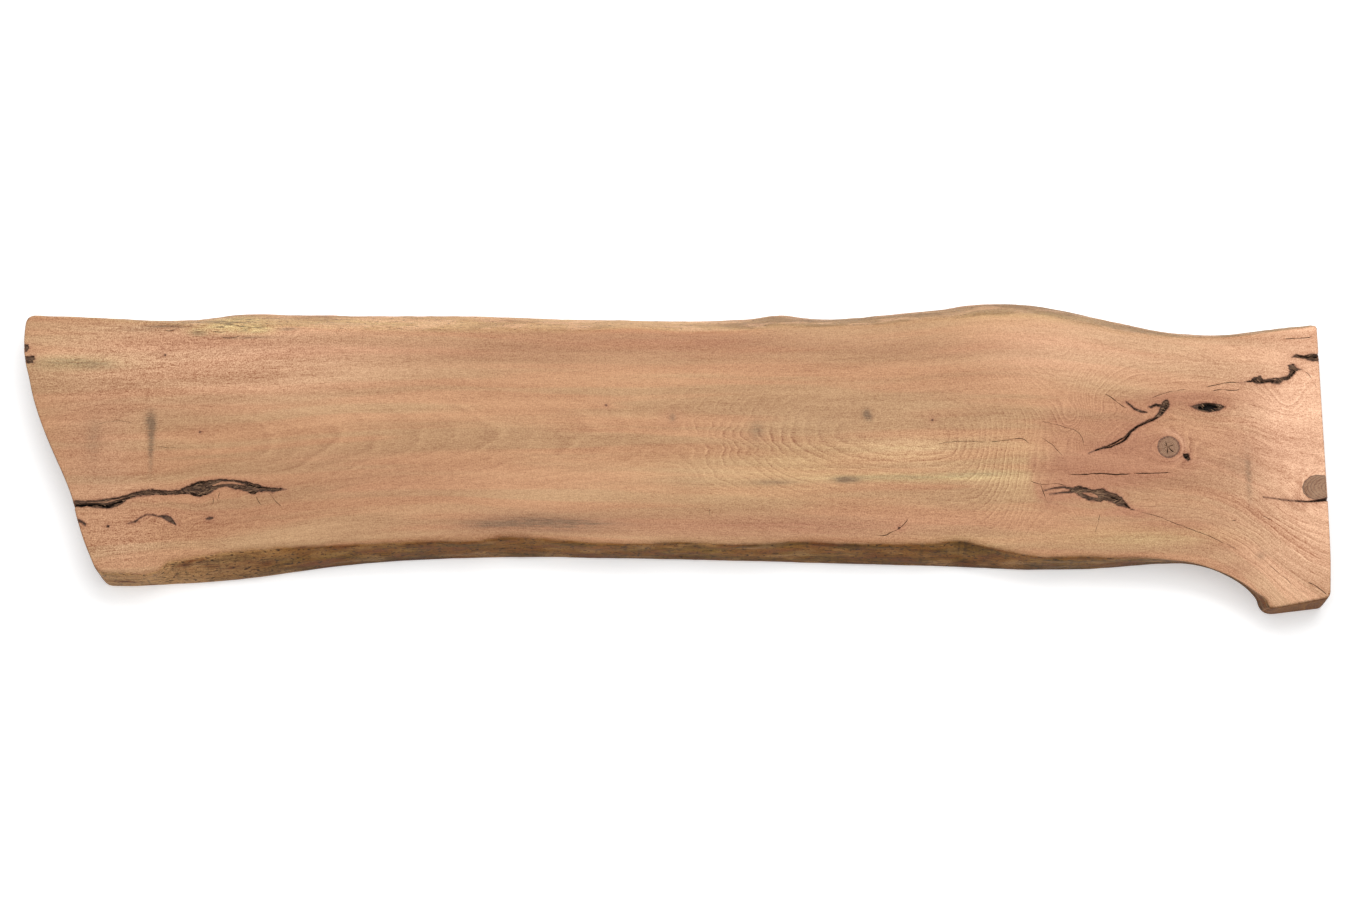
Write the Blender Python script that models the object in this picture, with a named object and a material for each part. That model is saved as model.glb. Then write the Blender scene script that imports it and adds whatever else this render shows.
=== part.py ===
"""Live-edge tabletop: one slab of mango wood, sawn square at one end and along a curve at the other.

Metres, +Z up. X runs along the slab, +Y is the rear live edge and the origin is the middle of its underside.
The slab is lofted through level outlines. Each outline is made of five sides, which meet at rounded corners:
the front live edge, the sawn foot, the square end, the rear live edge and the curved end.
"""

import math

import bmesh
import bpy
import numpy as np
from mathutils import Matrix, Vector

MM = 0.001
THICKNESS = 0.072
LENGTH = 2.435

# How far up the natural edge swells to its widest line, and how it curves in from there to the top
WIDEST_HEIGHT = 0.006
WANE_POWER = 1.4

# Sanded edges between the faces
TOP_ROUNDING = 0.003
BOTTOM_ROUNDING = 0.003

# The front live edge from the curved end to past the foot, in millimetres: along, across, and how far
# its top edge lies in from there. Where the last is negative, the edge is undercut.
FRONT_EDGE = (
    (-1130, -240, 14), (-1080, -245, 15), (-1014, -248, 15), (-960, -246, 13), (-943, -245.5, 18),
    (-929, -244.5, 31), (-912, -243.5, 35), (-888, -242, 38), (-848, -239, 42), (-767, -231, 45), (-688, -219.5, 38),
    (-602, -208, 30), (-507, -200, 27), (-437, -196, 25), (-356, -194, 24), (-307, -193, 30),
    (-238, -192, 26), (-140, -194, 20), (-48, -196, 19), (12, -197, 24), (95, -199, 22),
    (188, -201, 25), (245, -203, 32), (312, -204.5, 30), (386, -206.5, 31), (471, -209, 33),
    (537, -211.5, 42), (585, -213.5, 32), (631, -215.5, 22), (678, -216.5, 15), (772, -215.5, 14),
    (827, -212, 6), (872, -208.5, 0), (917, -205.5, -8), (963, -205.5, -14), (1003, -213.5, -18),
    (1034.5, -227, -18), (1060, -242.5, -17), (1078, -258.5, -15), (1089.5, -274.5, -9), (1093, -289, 2),
    (1093.5, -312, 12), (1094, -345, 14),
)

# The rear live edge from past the square end to past the curved one, in the same way
REAR_EDGE = (
    (1270, 262, 20), (1218, 256, 22), (1151, 250, 25), (1107, 244, 26), (1065, 239.5, 27),
    (1021, 238, 28), (977, 241, 31), (934, 246.5, 35), (890, 255.5, 40), (847, 265.5, 44),
    (803, 275.5, 42), (760, 286, 46), (716, 294.8, 44), (672, 300.6, 46), (623, 302.7, 49),
    (575, 300.1, 48), (525, 292, 44), (477, 287, 41), (403, 279.5, 43), (355, 274.5, 42),
    (305, 271.5, 40), (271, 273, 43), (238, 277, 46), (214, 280, 48), (194, 279, 48),
    (160, 273, 46), (112, 270, 46), (38, 268, 46), (-75, 269, 42), (-172, 271, 48),
    (-247, 273.5, 50), (-344, 277, 54), (-464, 278, 55), (-632, 279, 52), (-757, 281, 50),
    (-800, 282, 52), (-835, 280, 47), (-865, 275, 42), (-909, 270, 37), (-974, 268, 31),
    (-1061, 270, 25), (-1149, 272, 21), (-1214, 272, 19), (-1280, 270, 19),
)

# The curved saw cut from past the rear edge to past the front one
CURVED_END = (
    (-1209, 330), (-1214, 275), (-1217.5, 224), (-1217, 197), (-1213, 170), (-1204.5, 139), (-1194, 99),
    (-1179.5, 58), (-1162.5, 18), (-1146, -17), (-1126.5, -57), (-1111.5, -92), (-1098.5, -136), (-1084.5, -175),
    (-1071.5, -205), (-1053, -244), (-1033, -280), (-1005, -325),
)

# The two straight saw cuts, each run on past its corners
FOOT_CUT = ((1030, -312, -5), (1270, -282.5, 12))
SQUARE_END = (
    (1208, -350), (1212.5, -275), (1216.5, -210), (LENGTH / 2 / MM, -150), (LENGTH / 2 / MM, 0),
    (LENGTH / 2 / MM, 330),
)

# Corner radii in plan, in the order of the sides, and the number of points on each side
FOOT_INNER_RADIUS = 0.012
FOOT_OUTER_RADIUS = 0.012
REAR_SQUARE_RADIUS = 0.006
REAR_CURVED_RADIUS = 0.015
FRONT_CURVED_RADIUS = 0.014
CORNER_POINTS = 5
FINE_STEP = 0.004

# Hollows where bark grew in or rotted out. Each is a chain of round-bottomed cuts into the top, in
# millimetres: along, across and half the width. Depth is that half width times the hollow's own share.
LONG_BARK_POCKET = (
    (-1140, -107, 6), (-1103, -107, 6.5), (-1076, -107, 7.5), (-1035, -105, 9), (-1019, -100, 7.5),
    (-997, -95, 6.5), (-973, -88, 7), (-947, -86, 7), (-914, -86, 8), (-895, -84, 10),
    (-877, -80, 13), (-860, -76, 13), (-844, -71, 8), (-825, -69, 7), (-810, -70, 8),
    (-795, -73, 9.5), (-777, -78, 9), (-758, -79, 4.5), (-740, -78, 2.5),
)
SMALL_BARK_POCKET = (
    (-982, -128, 1.5), (-965, -126, 2.5), (-950, -128, 3), (-937, -131, 6), (-925, -136, 6), (-917, -146, 2.5),
)
FLOWING_CRACK = (
    (782, -11, 2), (793, -2, 3), (809, 2, 4), (825, 7, 4.5), (840, 17, 5), (854, 27, 4),
    (870, 40, 3.5), (887, 47, 4), (901, 53, 4.5), (913, 63, 5), (921, 74, 7), (926, 86, 8), (927, 93, 6),
)
CROTCH_BARK_POCKET = (
    (737, -82, 3), (753, -82, 8), (769, -87, 11), (786, -92, 13), (804, -89, 10), (820, -95, 12),
    (836, -103, 11), (847, -112, 7), (855, -119, 3),
)
KNOT_HOLE = ((972, 78, 3), (982, 78, 7.5), (996, 79, 9.5), (1012, 79, 9.5), (1027, 78, 7.5), (1038, 78, 3))
SMALL_KNOT_HOLE = ((955, -27, 4), (960, -20, 6), (965, -13, 4))
BRANCHED_BARK_POCKET = (
    (1090, 129, 3.5), (1106, 132, 6), (1122, 133, 6), (1138, 131, 8), (1152, 136, 9),
    (1161, 144, 8), (1167, 152, 7), (1172, 158, 5),
)
END_BARK_POCKET = (
    (1166, 176, 2.5), (1180, 176, 4.5), (1197, 175, 5.5), (1215, 174, 8), (1240, 173, 8),
)
END_CHECK = ((1181, -104, 1.2), (1199, -100, 2), (1214, -96, 3.5), (1240, -90, 5))
EDGE_NICK = ((-1232, 199, 5), (-1213, 190, 4), (-1206, 178, 6), (-1197, 168, 4), (-1190, 163, 2))
HOLLOWS = {
    "long_bark_pocket": (LONG_BARK_POCKET, 1.6),
    "small_bark_pocket": (SMALL_BARK_POCKET, 1.3),
    "flowing_crack": (FLOWING_CRACK, 1.8),
    "crotch_bark_pocket": (CROTCH_BARK_POCKET, 1.0),
    "knot_hole": (KNOT_HOLE, 2.6),
    "small_knot_hole": (SMALL_KNOT_HOLE, 2.6),
    "branched_bark_pocket": (BRANCHED_BARK_POCKET, 1.2),
    "end_bark_pocket": (END_BARK_POCKET, 1.2),
    "end_check": (END_CHECK, 3.0),
    "edge_nick": (EDGE_NICK, 0.9),
}
HOLLOW_STEP = 0.011

WOOD_COLOUR = (0.58, 0.34, 0.19, 1.0)
WOOD_ROUGHNESS = 0.5


def empty_scene():
    for thing in list(bpy.data.objects):
        bpy.data.objects.remove(thing)


def new_collection(name):
    made = bpy.data.collections.new(name)
    bpy.context.scene.collection.children.link(made)
    return made


def smooth_line(stations, step):
    """A smooth curve through the stations, in metres, as rows about one step apart."""
    rows = np.array(stations, float) * MM
    gaps = np.linalg.norm(np.diff(rows[:, :2], axis=0), axis=1)
    along = np.concatenate(([0.0], np.cumsum(gaps)))
    slopes = np.gradient(rows, along, axis=0)
    line = []
    for i, gap in enumerate(gaps):
        t = np.linspace(0, 1, max(2, math.ceil(gap / step) + 1))[:-1, None]
        line.append(
            rows[i] * (1 + 2 * t) * (1 - t) ** 2
            + rows[i + 1] * t * t * (3 - 2 * t)
            + slopes[i] * gap * t * (1 - t) ** 2
            + slopes[i + 1] * gap * t * t * (t - 1)
        )
    return np.vstack(line + [rows[-1:]])


def moved_inwards(line, distance):
    """The line shifted to its left, which is towards the wood on an outline that runs anticlockwise."""
    along = np.gradient(line, axis=0)
    along /= np.linalg.norm(along, axis=1)[:, None]
    left = np.column_stack((-along[:, 1], along[:, 0]))
    return line + left * np.reshape(distance, (-1, 1))


def crossing(first, second):
    """Where two lines cross: the segment of each and the point."""
    a, b = first[:-1, None], first[1:, None]
    c, d = second[None, :-1], second[None, 1:]
    r, s, gap = b - a, d - c, c - a
    across = r[..., 0] * s[..., 1] - r[..., 1] * s[..., 0]
    across[np.abs(across) < 1e-15] = 1e-15
    t = (gap[..., 0] * s[..., 1] - gap[..., 1] * s[..., 0]) / across
    u = (gap[..., 0] * r[..., 1] - gap[..., 1] * r[..., 0]) / across
    i, j = np.argwhere((t >= 0) & (t < 1) & (u >= 0) & (u < 1))[0]
    return i, j, (first[i] + t[i, j] * (first[i + 1] - first[i]))


def along_line(line, distances):
    """Points at those distances along a line, counted back from its end where they are negative."""
    reach = np.concatenate(([0.0], np.cumsum(np.linalg.norm(np.diff(line, axis=0), axis=1))))
    at = np.where(np.asarray(distances) < 0, reach[-1] + distances, distances)
    return np.column_stack([np.interp(at, reach, line[:, k]) for k in range(2)])


def rounded_corner(before, after, radius, count):
    """A curve from near the end of one side to near the start of the next, with the corner as its handle."""
    start, corner, end = along_line(before, [-radius])[0], before[-1], along_line(after, [radius])[0]
    t = np.linspace(0, 1, count + 2)[1:-1, None]
    return start * (1 - t) ** 2 + corner * 2 * t * (1 - t) + end * t * t


def outline_at(height, sides, radii, counts):
    """The closed outline of the slab at one height, as rows of X and Y."""
    rise = max(0.0, (height - WIDEST_HEIGHT) / (THICKNESS - WIDEST_HEIGHT))
    lean = rise**WANE_POWER
    sanded = edge_rounding(height)
    lines = [moved_inwards(line, run * lean + sanded) for line, run in sides]
    meetings = [crossing(lines[k], lines[(k + 1) % len(lines)]) for k in range(len(lines))]
    trimmed = []
    for k, line in enumerate(lines):
        _, first, start = meetings[k - 1]
        last, _, end = meetings[k]
        trimmed.append(np.vstack((start, line[first + 1 : last + 1], end)))
    outline = []
    for k, line in enumerate(trimmed):
        length = np.linalg.norm(np.diff(line, axis=0), axis=1).sum()
        stops = np.linspace(radii[k - 1], length - radii[k], counts[k])
        outline.append(along_line(line, stops))
        outline.append(rounded_corner(line, trimmed[(k + 1) % len(lines)], radii[k], CORNER_POINTS))
    return np.vstack(outline)


def edge_rounding(height):
    """How far the quarter-round sanding of the top and bottom edges draws the outline in."""
    for radius, depth in ((TOP_ROUNDING, THICKNESS - height), (BOTTOM_ROUNDING, height)):
        if depth < radius:
            return radius - math.sqrt(radius**2 - (radius - depth) ** 2)
    return 0.0


def slab_sides():
    """The five sides in order round the slab, each with the run of its wane."""
    sides = []
    for stations in (FRONT_EDGE, FOOT_CUT, SQUARE_END, REAR_EDGE, CURVED_END):
        line = smooth_line(stations, FINE_STEP)
        run = line[:, 2] if line.shape[1] == 3 else np.zeros(len(line))
        sides.append((line[:, :2], run))
    return sides


def ring_of_edges(bm, outline, height):
    verts = [bm.verts.new((x, y, height)) for x, y in outline]
    return [bm.edges.new((vert, verts[(i + 1) % len(verts)])) for i, vert in enumerate(verts)]


def sawn_slab():
    """The solid slab before bark and knots fell out of it, lofted through its level outlines."""
    sides = slab_sides()
    radii = (FOOT_INNER_RADIUS, FOOT_OUTER_RADIUS, REAR_SQUARE_RADIUS, REAR_CURVED_RADIUS, FRONT_CURVED_RADIUS)
    counts = (96, 6, 12, 88, 26)
    low = [BOTTOM_ROUNDING * share for share in (0, 0.3, 1)]
    wane = [THICKNESS * share for share in (0.2, 0.4, 0.6, 0.8)]
    high = [THICKNESS - TOP_ROUNDING * share for share in (1, 0.3, 0)]
    bm = bmesh.new()
    rings = [ring_of_edges(bm, outline_at(z, sides, radii, counts), z) for z in low + wane + high]
    for lower, upper in zip(rings, rings[1:]):
        bmesh.ops.bridge_loops(bm, edges=lower + upper)
    caps = []
    for ring in (rings[0], rings[-1]):
        caps += bmesh.ops.edgeloop_fill(bm, edges=ring)["faces"]
    bmesh.ops.triangulate(bm, faces=caps, ngon_method="BEAUTY")
    bmesh.ops.recalc_face_normals(bm, faces=bm.faces)
    mesh = bpy.data.meshes.new("tabletop_slab")
    bm.to_mesh(mesh)
    bm.free()
    return mesh


def hollow_cutter(name, stations, depth_share, collection):
    """A closed tapering tube laid in the top face, deeper or shallower than it is wide."""
    curve = bpy.data.curves.new(name, "CURVE")
    curve.dimensions = "3D"
    curve.bevel_depth = 1.0
    curve.bevel_resolution = 1
    curve.use_fill_caps = True
    line = smooth_line(stations, HOLLOW_STEP)
    spline = curve.splines.new("POLY")
    spline.points.add(len(line) - 1)
    for point, (x, y, half_width) in zip(spline.points, line):
        point.co = (x, y, 0.0, 1.0)
        point.radius = half_width
    tube = bpy.data.objects.new(name, curve)
    bpy.context.scene.collection.objects.link(tube)
    evaluated = tube.evaluated_get(bpy.context.evaluated_depsgraph_get())
    mesh = bpy.data.meshes.new_from_object(evaluated)
    bpy.data.objects.remove(tube)
    bm = bmesh.new()
    bm.from_mesh(mesh)
    bmesh.ops.remove_doubles(bm, verts=bm.verts, dist=1e-6)
    bmesh.ops.recalc_face_normals(bm, faces=bm.faces)
    bm.to_mesh(mesh)
    bm.free()
    mesh.transform(Matrix.Translation(Vector((0, 0, THICKNESS))) @ Matrix.Diagonal((1, 1, depth_share, 1)))
    cutter = bpy.data.objects.new(name, mesh)
    cutter.hide_render = True
    cutter.display_type = "WIRE"
    collection.objects.link(cutter)
    return cutter


def cut_hollows(slab, collection):
    for name, (stations, depth_share) in HOLLOWS.items():
        cut = slab.modifiers.new(name, "BOOLEAN")
        cut.operation = "DIFFERENCE"
        cut.object = hollow_cutter("cut_" + name, stations, depth_share, collection)


def wood_material():
    material = bpy.data.materials.new("mango_wood")
    material.use_nodes = True
    shader = material.node_tree.nodes["Principled BSDF"]
    shader.inputs["Base Color"].default_value = WOOD_COLOUR
    shader.inputs["Roughness"].default_value = WOOD_ROUGHNESS
    shader.inputs["Metallic"].default_value = 0.0
    return material


def make_tabletop():
    empty_scene()
    tabletop = new_collection("mango_wood_tabletop")
    cutters = new_collection("hollow_cutters")
    slab = bpy.data.objects.new("tabletop_slab", sawn_slab())
    slab.data.materials.append(wood_material())
    tabletop.objects.link(slab)
    cut_hollows(slab, cutters)
    slab.data.shade_smooth()
    slab.data.set_sharp_from_angle(angle=math.radians(35))


make_tabletop()
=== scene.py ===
# %% [markdown]
# # A live-edge mango wood tabletop
# One slab, sawn lengthwise from a trunk just where it forks. The top is sanded flat, the long sides keep the
# shape that grew under the bark, and the short sides are saw cuts: a square one on the right, with a foot at
# its front corner, and a curved one on the left.
#
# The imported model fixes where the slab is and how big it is. It could be painted as it stands, but its
# surface is made of a few thousand large triangles, too coarse for ragged bark, fine checks and grain that
# bends round knots. So this lesson makes a finer slab inside the same outline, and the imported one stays
# behind it for physics.

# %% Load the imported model
import itertools
import math

import bpy
import numpy as np
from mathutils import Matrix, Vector
from mathutils.geometry import delaunay_2d_cdt


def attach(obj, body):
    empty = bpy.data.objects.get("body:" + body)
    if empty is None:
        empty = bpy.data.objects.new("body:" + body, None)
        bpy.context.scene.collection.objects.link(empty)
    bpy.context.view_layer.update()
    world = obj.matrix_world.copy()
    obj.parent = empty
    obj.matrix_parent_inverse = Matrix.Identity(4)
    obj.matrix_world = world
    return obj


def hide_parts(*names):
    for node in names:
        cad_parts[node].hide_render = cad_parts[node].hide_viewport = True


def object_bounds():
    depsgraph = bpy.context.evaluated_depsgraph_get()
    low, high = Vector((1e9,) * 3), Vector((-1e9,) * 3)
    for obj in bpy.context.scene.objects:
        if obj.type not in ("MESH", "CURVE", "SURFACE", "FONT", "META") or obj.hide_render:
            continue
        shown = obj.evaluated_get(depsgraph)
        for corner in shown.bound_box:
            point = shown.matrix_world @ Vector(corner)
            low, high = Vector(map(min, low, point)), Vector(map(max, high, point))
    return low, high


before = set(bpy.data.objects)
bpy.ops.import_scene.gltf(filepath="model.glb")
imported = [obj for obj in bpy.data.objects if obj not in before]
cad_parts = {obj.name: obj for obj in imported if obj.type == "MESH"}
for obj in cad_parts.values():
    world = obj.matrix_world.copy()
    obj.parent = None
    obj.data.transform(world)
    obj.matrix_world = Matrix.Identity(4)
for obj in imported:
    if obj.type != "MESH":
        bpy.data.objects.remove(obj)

MM = 0.001
cad_low, cad_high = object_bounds()
THICKNESS = (cad_high[2] - cad_low[2]) / MM
print("packed slab, mm:", [round((high - low) / MM, 1) for low, high in zip(cad_low, cad_high)])

# %% [markdown]
# ## Camera
# The slab is seen almost from above, from the front, 75 degrees over the horizon. A long lens from far off
# would flatten it; this one stands 5.2 m away, which makes the square end look as slanted as it should.

# %% Place the camera
CAMERA_ELEVATION = math.radians(75)
CAMERA_DISTANCE = 5.2
CAMERA_AIM = Vector((0.0078, 0.002, 0.05))
CAMERA_LENS = 74.16

camera_data = bpy.data.cameras.new("camera")
camera_data.lens = CAMERA_LENS
camera_data.sensor_width = 36.0
camera = bpy.data.objects.new("camera", camera_data)
towards_camera = Vector((0.0, -math.cos(CAMERA_ELEVATION), math.sin(CAMERA_ELEVATION)))
camera.location = CAMERA_AIM + towards_camera * CAMERA_DISTANCE
camera.rotation_euler = towards_camera.to_track_quat("Z", "Y").to_euler()
bpy.context.scene.collection.objects.link(camera)
bpy.context.scene.camera = camera
print("camera at", [round(v, 2) for v in camera.location])

# %% [markdown]
# ## Smooth lines and smooth noise
# Two helpers carry most of the shape. A smooth line runs through a few stations, as a bent batten runs
# through nails. Smooth noise gives every natural irregularity. Blender's own noise takes one point at a time
# in Python, so this one works on whole arrays: a block of random numbers, read between its corners.

# %% Smooth line and smooth noise
LATTICE_SIZE = 64
LATTICE = np.random.default_rng(11).random((LATTICE_SIZE, LATTICE_SIZE, LATTICE_SIZE))


def smooth_line(stations, step):
    """A smooth curve through the stations, as rows about one step apart."""
    rows = np.array(stations, float)
    gaps = np.linalg.norm(np.diff(rows[:, :2], axis=0), axis=1)
    along = np.concatenate(([0.0], np.cumsum(gaps)))
    slopes = np.gradient(rows, along, axis=0)
    line = []
    for i, gap in enumerate(gaps):
        t = np.linspace(0, 1, max(2, math.ceil(gap / step) + 1))[:-1, None]
        line.append(
            rows[i] * (1 + 2 * t) * (1 - t) ** 2
            + rows[i + 1] * t * t * (3 - 2 * t)
            + slopes[i] * gap * t * (1 - t) ** 2
            + slopes[i + 1] * gap * t * t * (t - 1)
        )
    return np.vstack(line + [rows[-1:]])


def noise(x, y, z=0.0):
    """Smooth noise from -1 to 1, about one lump to a unit, at arrays of places."""
    place = np.stack(np.broadcast_arrays(x, y, z), axis=-1).astype(float)
    cell = np.floor(place).astype(int)
    t = place - cell
    t = t * t * (3 - 2 * t)
    total = 0.0
    for corner in itertools.product((0, 1), repeat=3):
        i, j, k = np.moveaxis((cell + corner) % LATTICE_SIZE, -1, 0)
        total = total + np.prod(np.where(corner, t, 1 - t), axis=-1) * LATTICE[i, j, k]
    return 2 * total - 1


def smoothstep(low, high, value):
    """0 before low, 1 past high and smooth between."""
    t = np.clip((value - low) / (high - low), 0, 1)
    return t * t * (3 - 2 * t)


noise_sample = noise(np.arange(0, 90, 0.37), 3.3)
print("noise spans", np.round(noise_sample.min(), 2), "to", np.round(noise_sample.max(), 2))

# %% [markdown]
# ## The outline
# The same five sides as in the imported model, in millimetres: front live edge, sawn foot, square end, rear
# live edge and curved end. Each live-edge station says where the slab is widest and how far its top edge
# lies in from there. A negative run is an undercut, as under the arc beside the foot.

# %% The five sides
FRONT_EDGE = (
    (-1130, -240, 14), (-1080, -245, 15), (-1014, -248, 15), (-960, -246, 13), (-943, -245.5, 18),
    (-929, -244.5, 31), (-912, -243.5, 35), (-888, -242, 38), (-848, -239, 42), (-767, -231, 45),
    (-688, -219.5, 38), (-602, -208, 30), (-507, -200, 27), (-437, -196, 25), (-356, -194, 24),
    (-307, -193, 30), (-238, -192, 26), (-140, -194, 20), (-48, -196, 19), (12, -197, 24), (95, -199, 22),
    (188, -201, 25), (245, -203, 32), (312, -204.5, 30), (386, -206.5, 31), (471, -209, 33),
    (537, -211.5, 42), (585, -213.5, 32), (631, -215.5, 22), (678, -216.5, 15), (772, -215.5, 14),
    (827, -212, 6), (872, -208.5, 0), (917, -205.5, -8), (963, -205.5, -14), (1003, -213.5, -18),
    (1034.5, -227, -18), (1060, -242.5, -17), (1078, -258.5, -15), (1089.5, -274.5, -9), (1093, -289, 2),
    (1093.5, -312, 12), (1094, -345, 14),
)
REAR_EDGE = (
    (1270, 262, 20), (1218, 256, 22), (1151, 250, 25), (1107, 244, 26), (1065, 239.5, 27), (1021, 238, 28),
    (977, 241, 31), (934, 246.5, 35), (890, 255.5, 40), (847, 265.5, 44), (803, 275.5, 42), (760, 286, 46),
    (716, 294.8, 44), (672, 300.6, 46), (623, 302.7, 49), (575, 300.1, 48), (525, 292, 44), (477, 287, 41),
    (403, 279.5, 43), (355, 274.5, 42), (305, 271.5, 40), (271, 273, 43), (238, 277, 46), (214, 280, 48),
    (194, 279, 48), (160, 273, 46), (112, 270, 46), (38, 268, 46), (-75, 269, 42), (-172, 271, 48),
    (-247, 273.5, 50), (-344, 277, 54), (-464, 278, 55), (-632, 279, 52), (-757, 281, 50), (-800, 282, 52),
    (-835, 280, 47), (-865, 275, 42), (-909, 270, 37), (-974, 268, 31), (-1061, 270, 25), (-1149, 272, 21),
    (-1214, 272, 19), (-1280, 270, 19),
)
CURVED_END = (
    (-1209, 330), (-1214, 275), (-1217.5, 224), (-1217, 197), (-1213, 170), (-1204.5, 139), (-1194, 99),
    (-1179.5, 58), (-1162.5, 18), (-1146, -17), (-1126.5, -57), (-1111.5, -92), (-1098.5, -136),
    (-1084.5, -175), (-1071.5, -205), (-1053, -244), (-1033, -280), (-1005, -325),
)
FOOT_CUT = ((1030, -312, -5), (1270, -282.5, 12))
SQUARE_END = ((1208, -350), (1212.5, -275), (1216.5, -210), (1217.5, -150), (1217.5, 0), (1217.5, 330))

SIDES = (FRONT_EDGE, FOOT_CUT, SQUARE_END, REAR_EDGE, CURVED_END)
SIDE_POINTS = (620, 30, 220, 620, 220)
CORNER_RADII = (9.0, 12.0, 6.0, 15.0, 14.0)
FOOT_TOE = 20.0
CORNER_POINTS = 7
LIVE_SIDES = (0, 3)
side_lines = [smooth_line(stations, 2.0) for stations in SIDES]
print("points round the outline:", sum(SIDE_POINTS) + CORNER_POINTS * len(SIDES))

# %% [markdown]
# ## Levels
# The slab is lofted through level outlines. At each height every side moves inwards by its own share of the
# wane, and where the edges are sanded by a quarter round too. Neighbouring sides are then cut where they
# cross, and the corners rounded. Bark grew over the live edges, so they also get long low ridges and smaller
# lumps, half as high at the rear. The foot's arris is a little softer than the other saw cuts', and its toe
# is rounder near the underside.

# %% Outline at any height
WIDEST_HEIGHT = 6.0
WANE_POWER = 1.4
TOP_ROUNDING = 3.0
LIVE_ROUNDING = 9.0
BOTTOM_ROUNDING = 3.0
FOOT_SOFTNESS = 0.4
RIDGE_HEIGHT = 1.5
LUMP_HEIGHT = 0.55
REAR_RELIEF = 0.5
WANE_FOR_ROUNDING = 12


def moved_inwards(line, distance):
    """The line shifted to its left, which is towards the wood on an outline that runs anticlockwise."""
    along = np.gradient(line, axis=0)
    along /= np.linalg.norm(along, axis=1)[:, None]
    left = np.column_stack((-along[:, 1], along[:, 0]))
    return line + left * np.reshape(distance, (-1, 1))


def crossing(first, second):
    """Where two lines cross: the segment of each and the point."""
    a, b = first[:-1, None], first[1:, None]
    c, d = second[None, :-1], second[None, 1:]
    r, s, gap = b - a, d - c, c - a
    across = r[..., 0] * s[..., 1] - r[..., 1] * s[..., 0]
    across[np.abs(across) < 1e-12] = 1e-12
    t = (gap[..., 0] * s[..., 1] - gap[..., 1] * s[..., 0]) / across
    u = (gap[..., 0] * r[..., 1] - gap[..., 1] * r[..., 0]) / across
    i, j = np.argwhere((t >= 0) & (t < 1) & (u >= 0) & (u < 1))[0]
    return i, j, first[i] + t[i, j] * (first[i + 1] - first[i])


def along_line(line, distances):
    """Points at those distances along a line, counted back from its end where they are negative."""
    reach = np.concatenate(([0.0], np.cumsum(np.linalg.norm(np.diff(line, axis=0), axis=1))))
    at = np.where(np.asarray(distances) < 0, reach[-1] + distances, distances)
    return np.column_stack([np.interp(at, reach, line[:, k]) for k in range(2)])


def rounded_corner(before, after, radius):
    """Points round the corner where one side meets the next."""
    start = along_line(before, [-radius])[0]
    corner = before[-1]
    end = along_line(after, [radius])[0]
    t = np.linspace(0, 1, CORNER_POINTS + 2)[1:-1, None]
    return start * (1 - t) ** 2 + corner * 2 * t * (1 - t) + end * t * t


def quarter_round(depth, radius):
    """How far in a rounded edge lies, that deep below the face it rounds off."""
    return radius - math.sqrt(radius**2 - (radius - depth) ** 2) if depth < radius else 0.0


def live_relief(line, height):
    """How far the ridges and lumps of the live edge lie in from its smooth shape."""
    x, y = line[:, 0], np.sign(line[:, 1]) * 40
    ridges = noise(x / 55, height / 13, y) + 0.6 * noise(x / 23, height / 8, y + 9)
    lumps = noise(x / 9, height / 6, y + 5)
    fade = smoothstep(0, 8, height) * smoothstep(0, 12, THICKNESS - height)
    fade = np.where(line[:, 1] > 0, REAR_RELIEF, 1.0) * fade
    return fade * (RIDGE_HEIGHT * ridges + LUMP_HEIGHT * lumps)


def outline_at(height, inset=0.0):
    """The closed outline of the slab at one height, in millimetres."""
    rise = max(0.0, (height - WIDEST_HEIGHT) / (THICKNESS - WIDEST_HEIGHT))
    crisp = quarter_round(THICKNESS - height, TOP_ROUNDING) + quarter_round(height, BOTTOM_ROUNDING) + inset
    soft = quarter_round(THICKNESS - height, LIVE_ROUNDING) - quarter_round(THICKNESS - height, TOP_ROUNDING)
    moved = []
    for number, line in enumerate(side_lines):
        inwards = crisp
        if number in LIVE_SIDES:
            wane = smoothstep(0, WANE_FOR_ROUNDING, line[:, 2])
            run = line[:, 2] - (LIVE_ROUNDING - TOP_ROUNDING) * wane
            inwards = crisp + run * rise**WANE_POWER + soft * wane + live_relief(line, height)
        elif line.shape[1] == 3:
            run = line[:, 2] - FOOT_SOFTNESS * (LIVE_ROUNDING - TOP_ROUNDING)
            inwards = crisp + run * rise**WANE_POWER + FOOT_SOFTNESS * soft
        moved.append(moved_inwards(line[:, :2], inwards))
    meetings = [crossing(moved[k], moved[(k + 1) % len(moved)]) for k in range(len(moved))]
    trimmed = []
    for k, line in enumerate(moved):
        _, first, start = meetings[k - 1]
        last, _, end = meetings[k]
        trimmed.append(np.vstack((start, line[first + 1 : last + 1], end)))
    outline = []
    radii = (CORNER_RADII[0] + FOOT_TOE * (1 - height / THICKNESS), *CORNER_RADII[1:])
    for k, line in enumerate(trimmed):
        length = np.linalg.norm(np.diff(line, axis=0), axis=1).sum()
        stops = np.linspace(radii[k - 1], length - radii[k], SIDE_POINTS[k])
        outline += [along_line(line, stops), rounded_corner(line, trimmed[(k + 1) % len(trimmed)], radii[k])]
    return np.vstack(outline)


BOTTOM_LEVELS = [BOTTOM_ROUNDING * share for share in (0, 0.12, 0.4, 1)]
WANE_LEVELS = list(np.linspace(BOTTOM_ROUNDING, THICKNESS - LIVE_ROUNDING, 12)[1:-1])
TOP_LEVELS = [THICKNESS - LIVE_ROUNDING * share for share in (1, 0.65, 0.38, 0.18, 0.05, 0)]
LEVELS = BOTTOM_LEVELS + WANE_LEVELS + TOP_LEVELS
rings = [outline_at(height) for height in LEVELS]
print("levels:", len(rings), "widest, mm:", np.round(np.ptp(np.vstack(rings), axis=0), 1))

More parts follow.
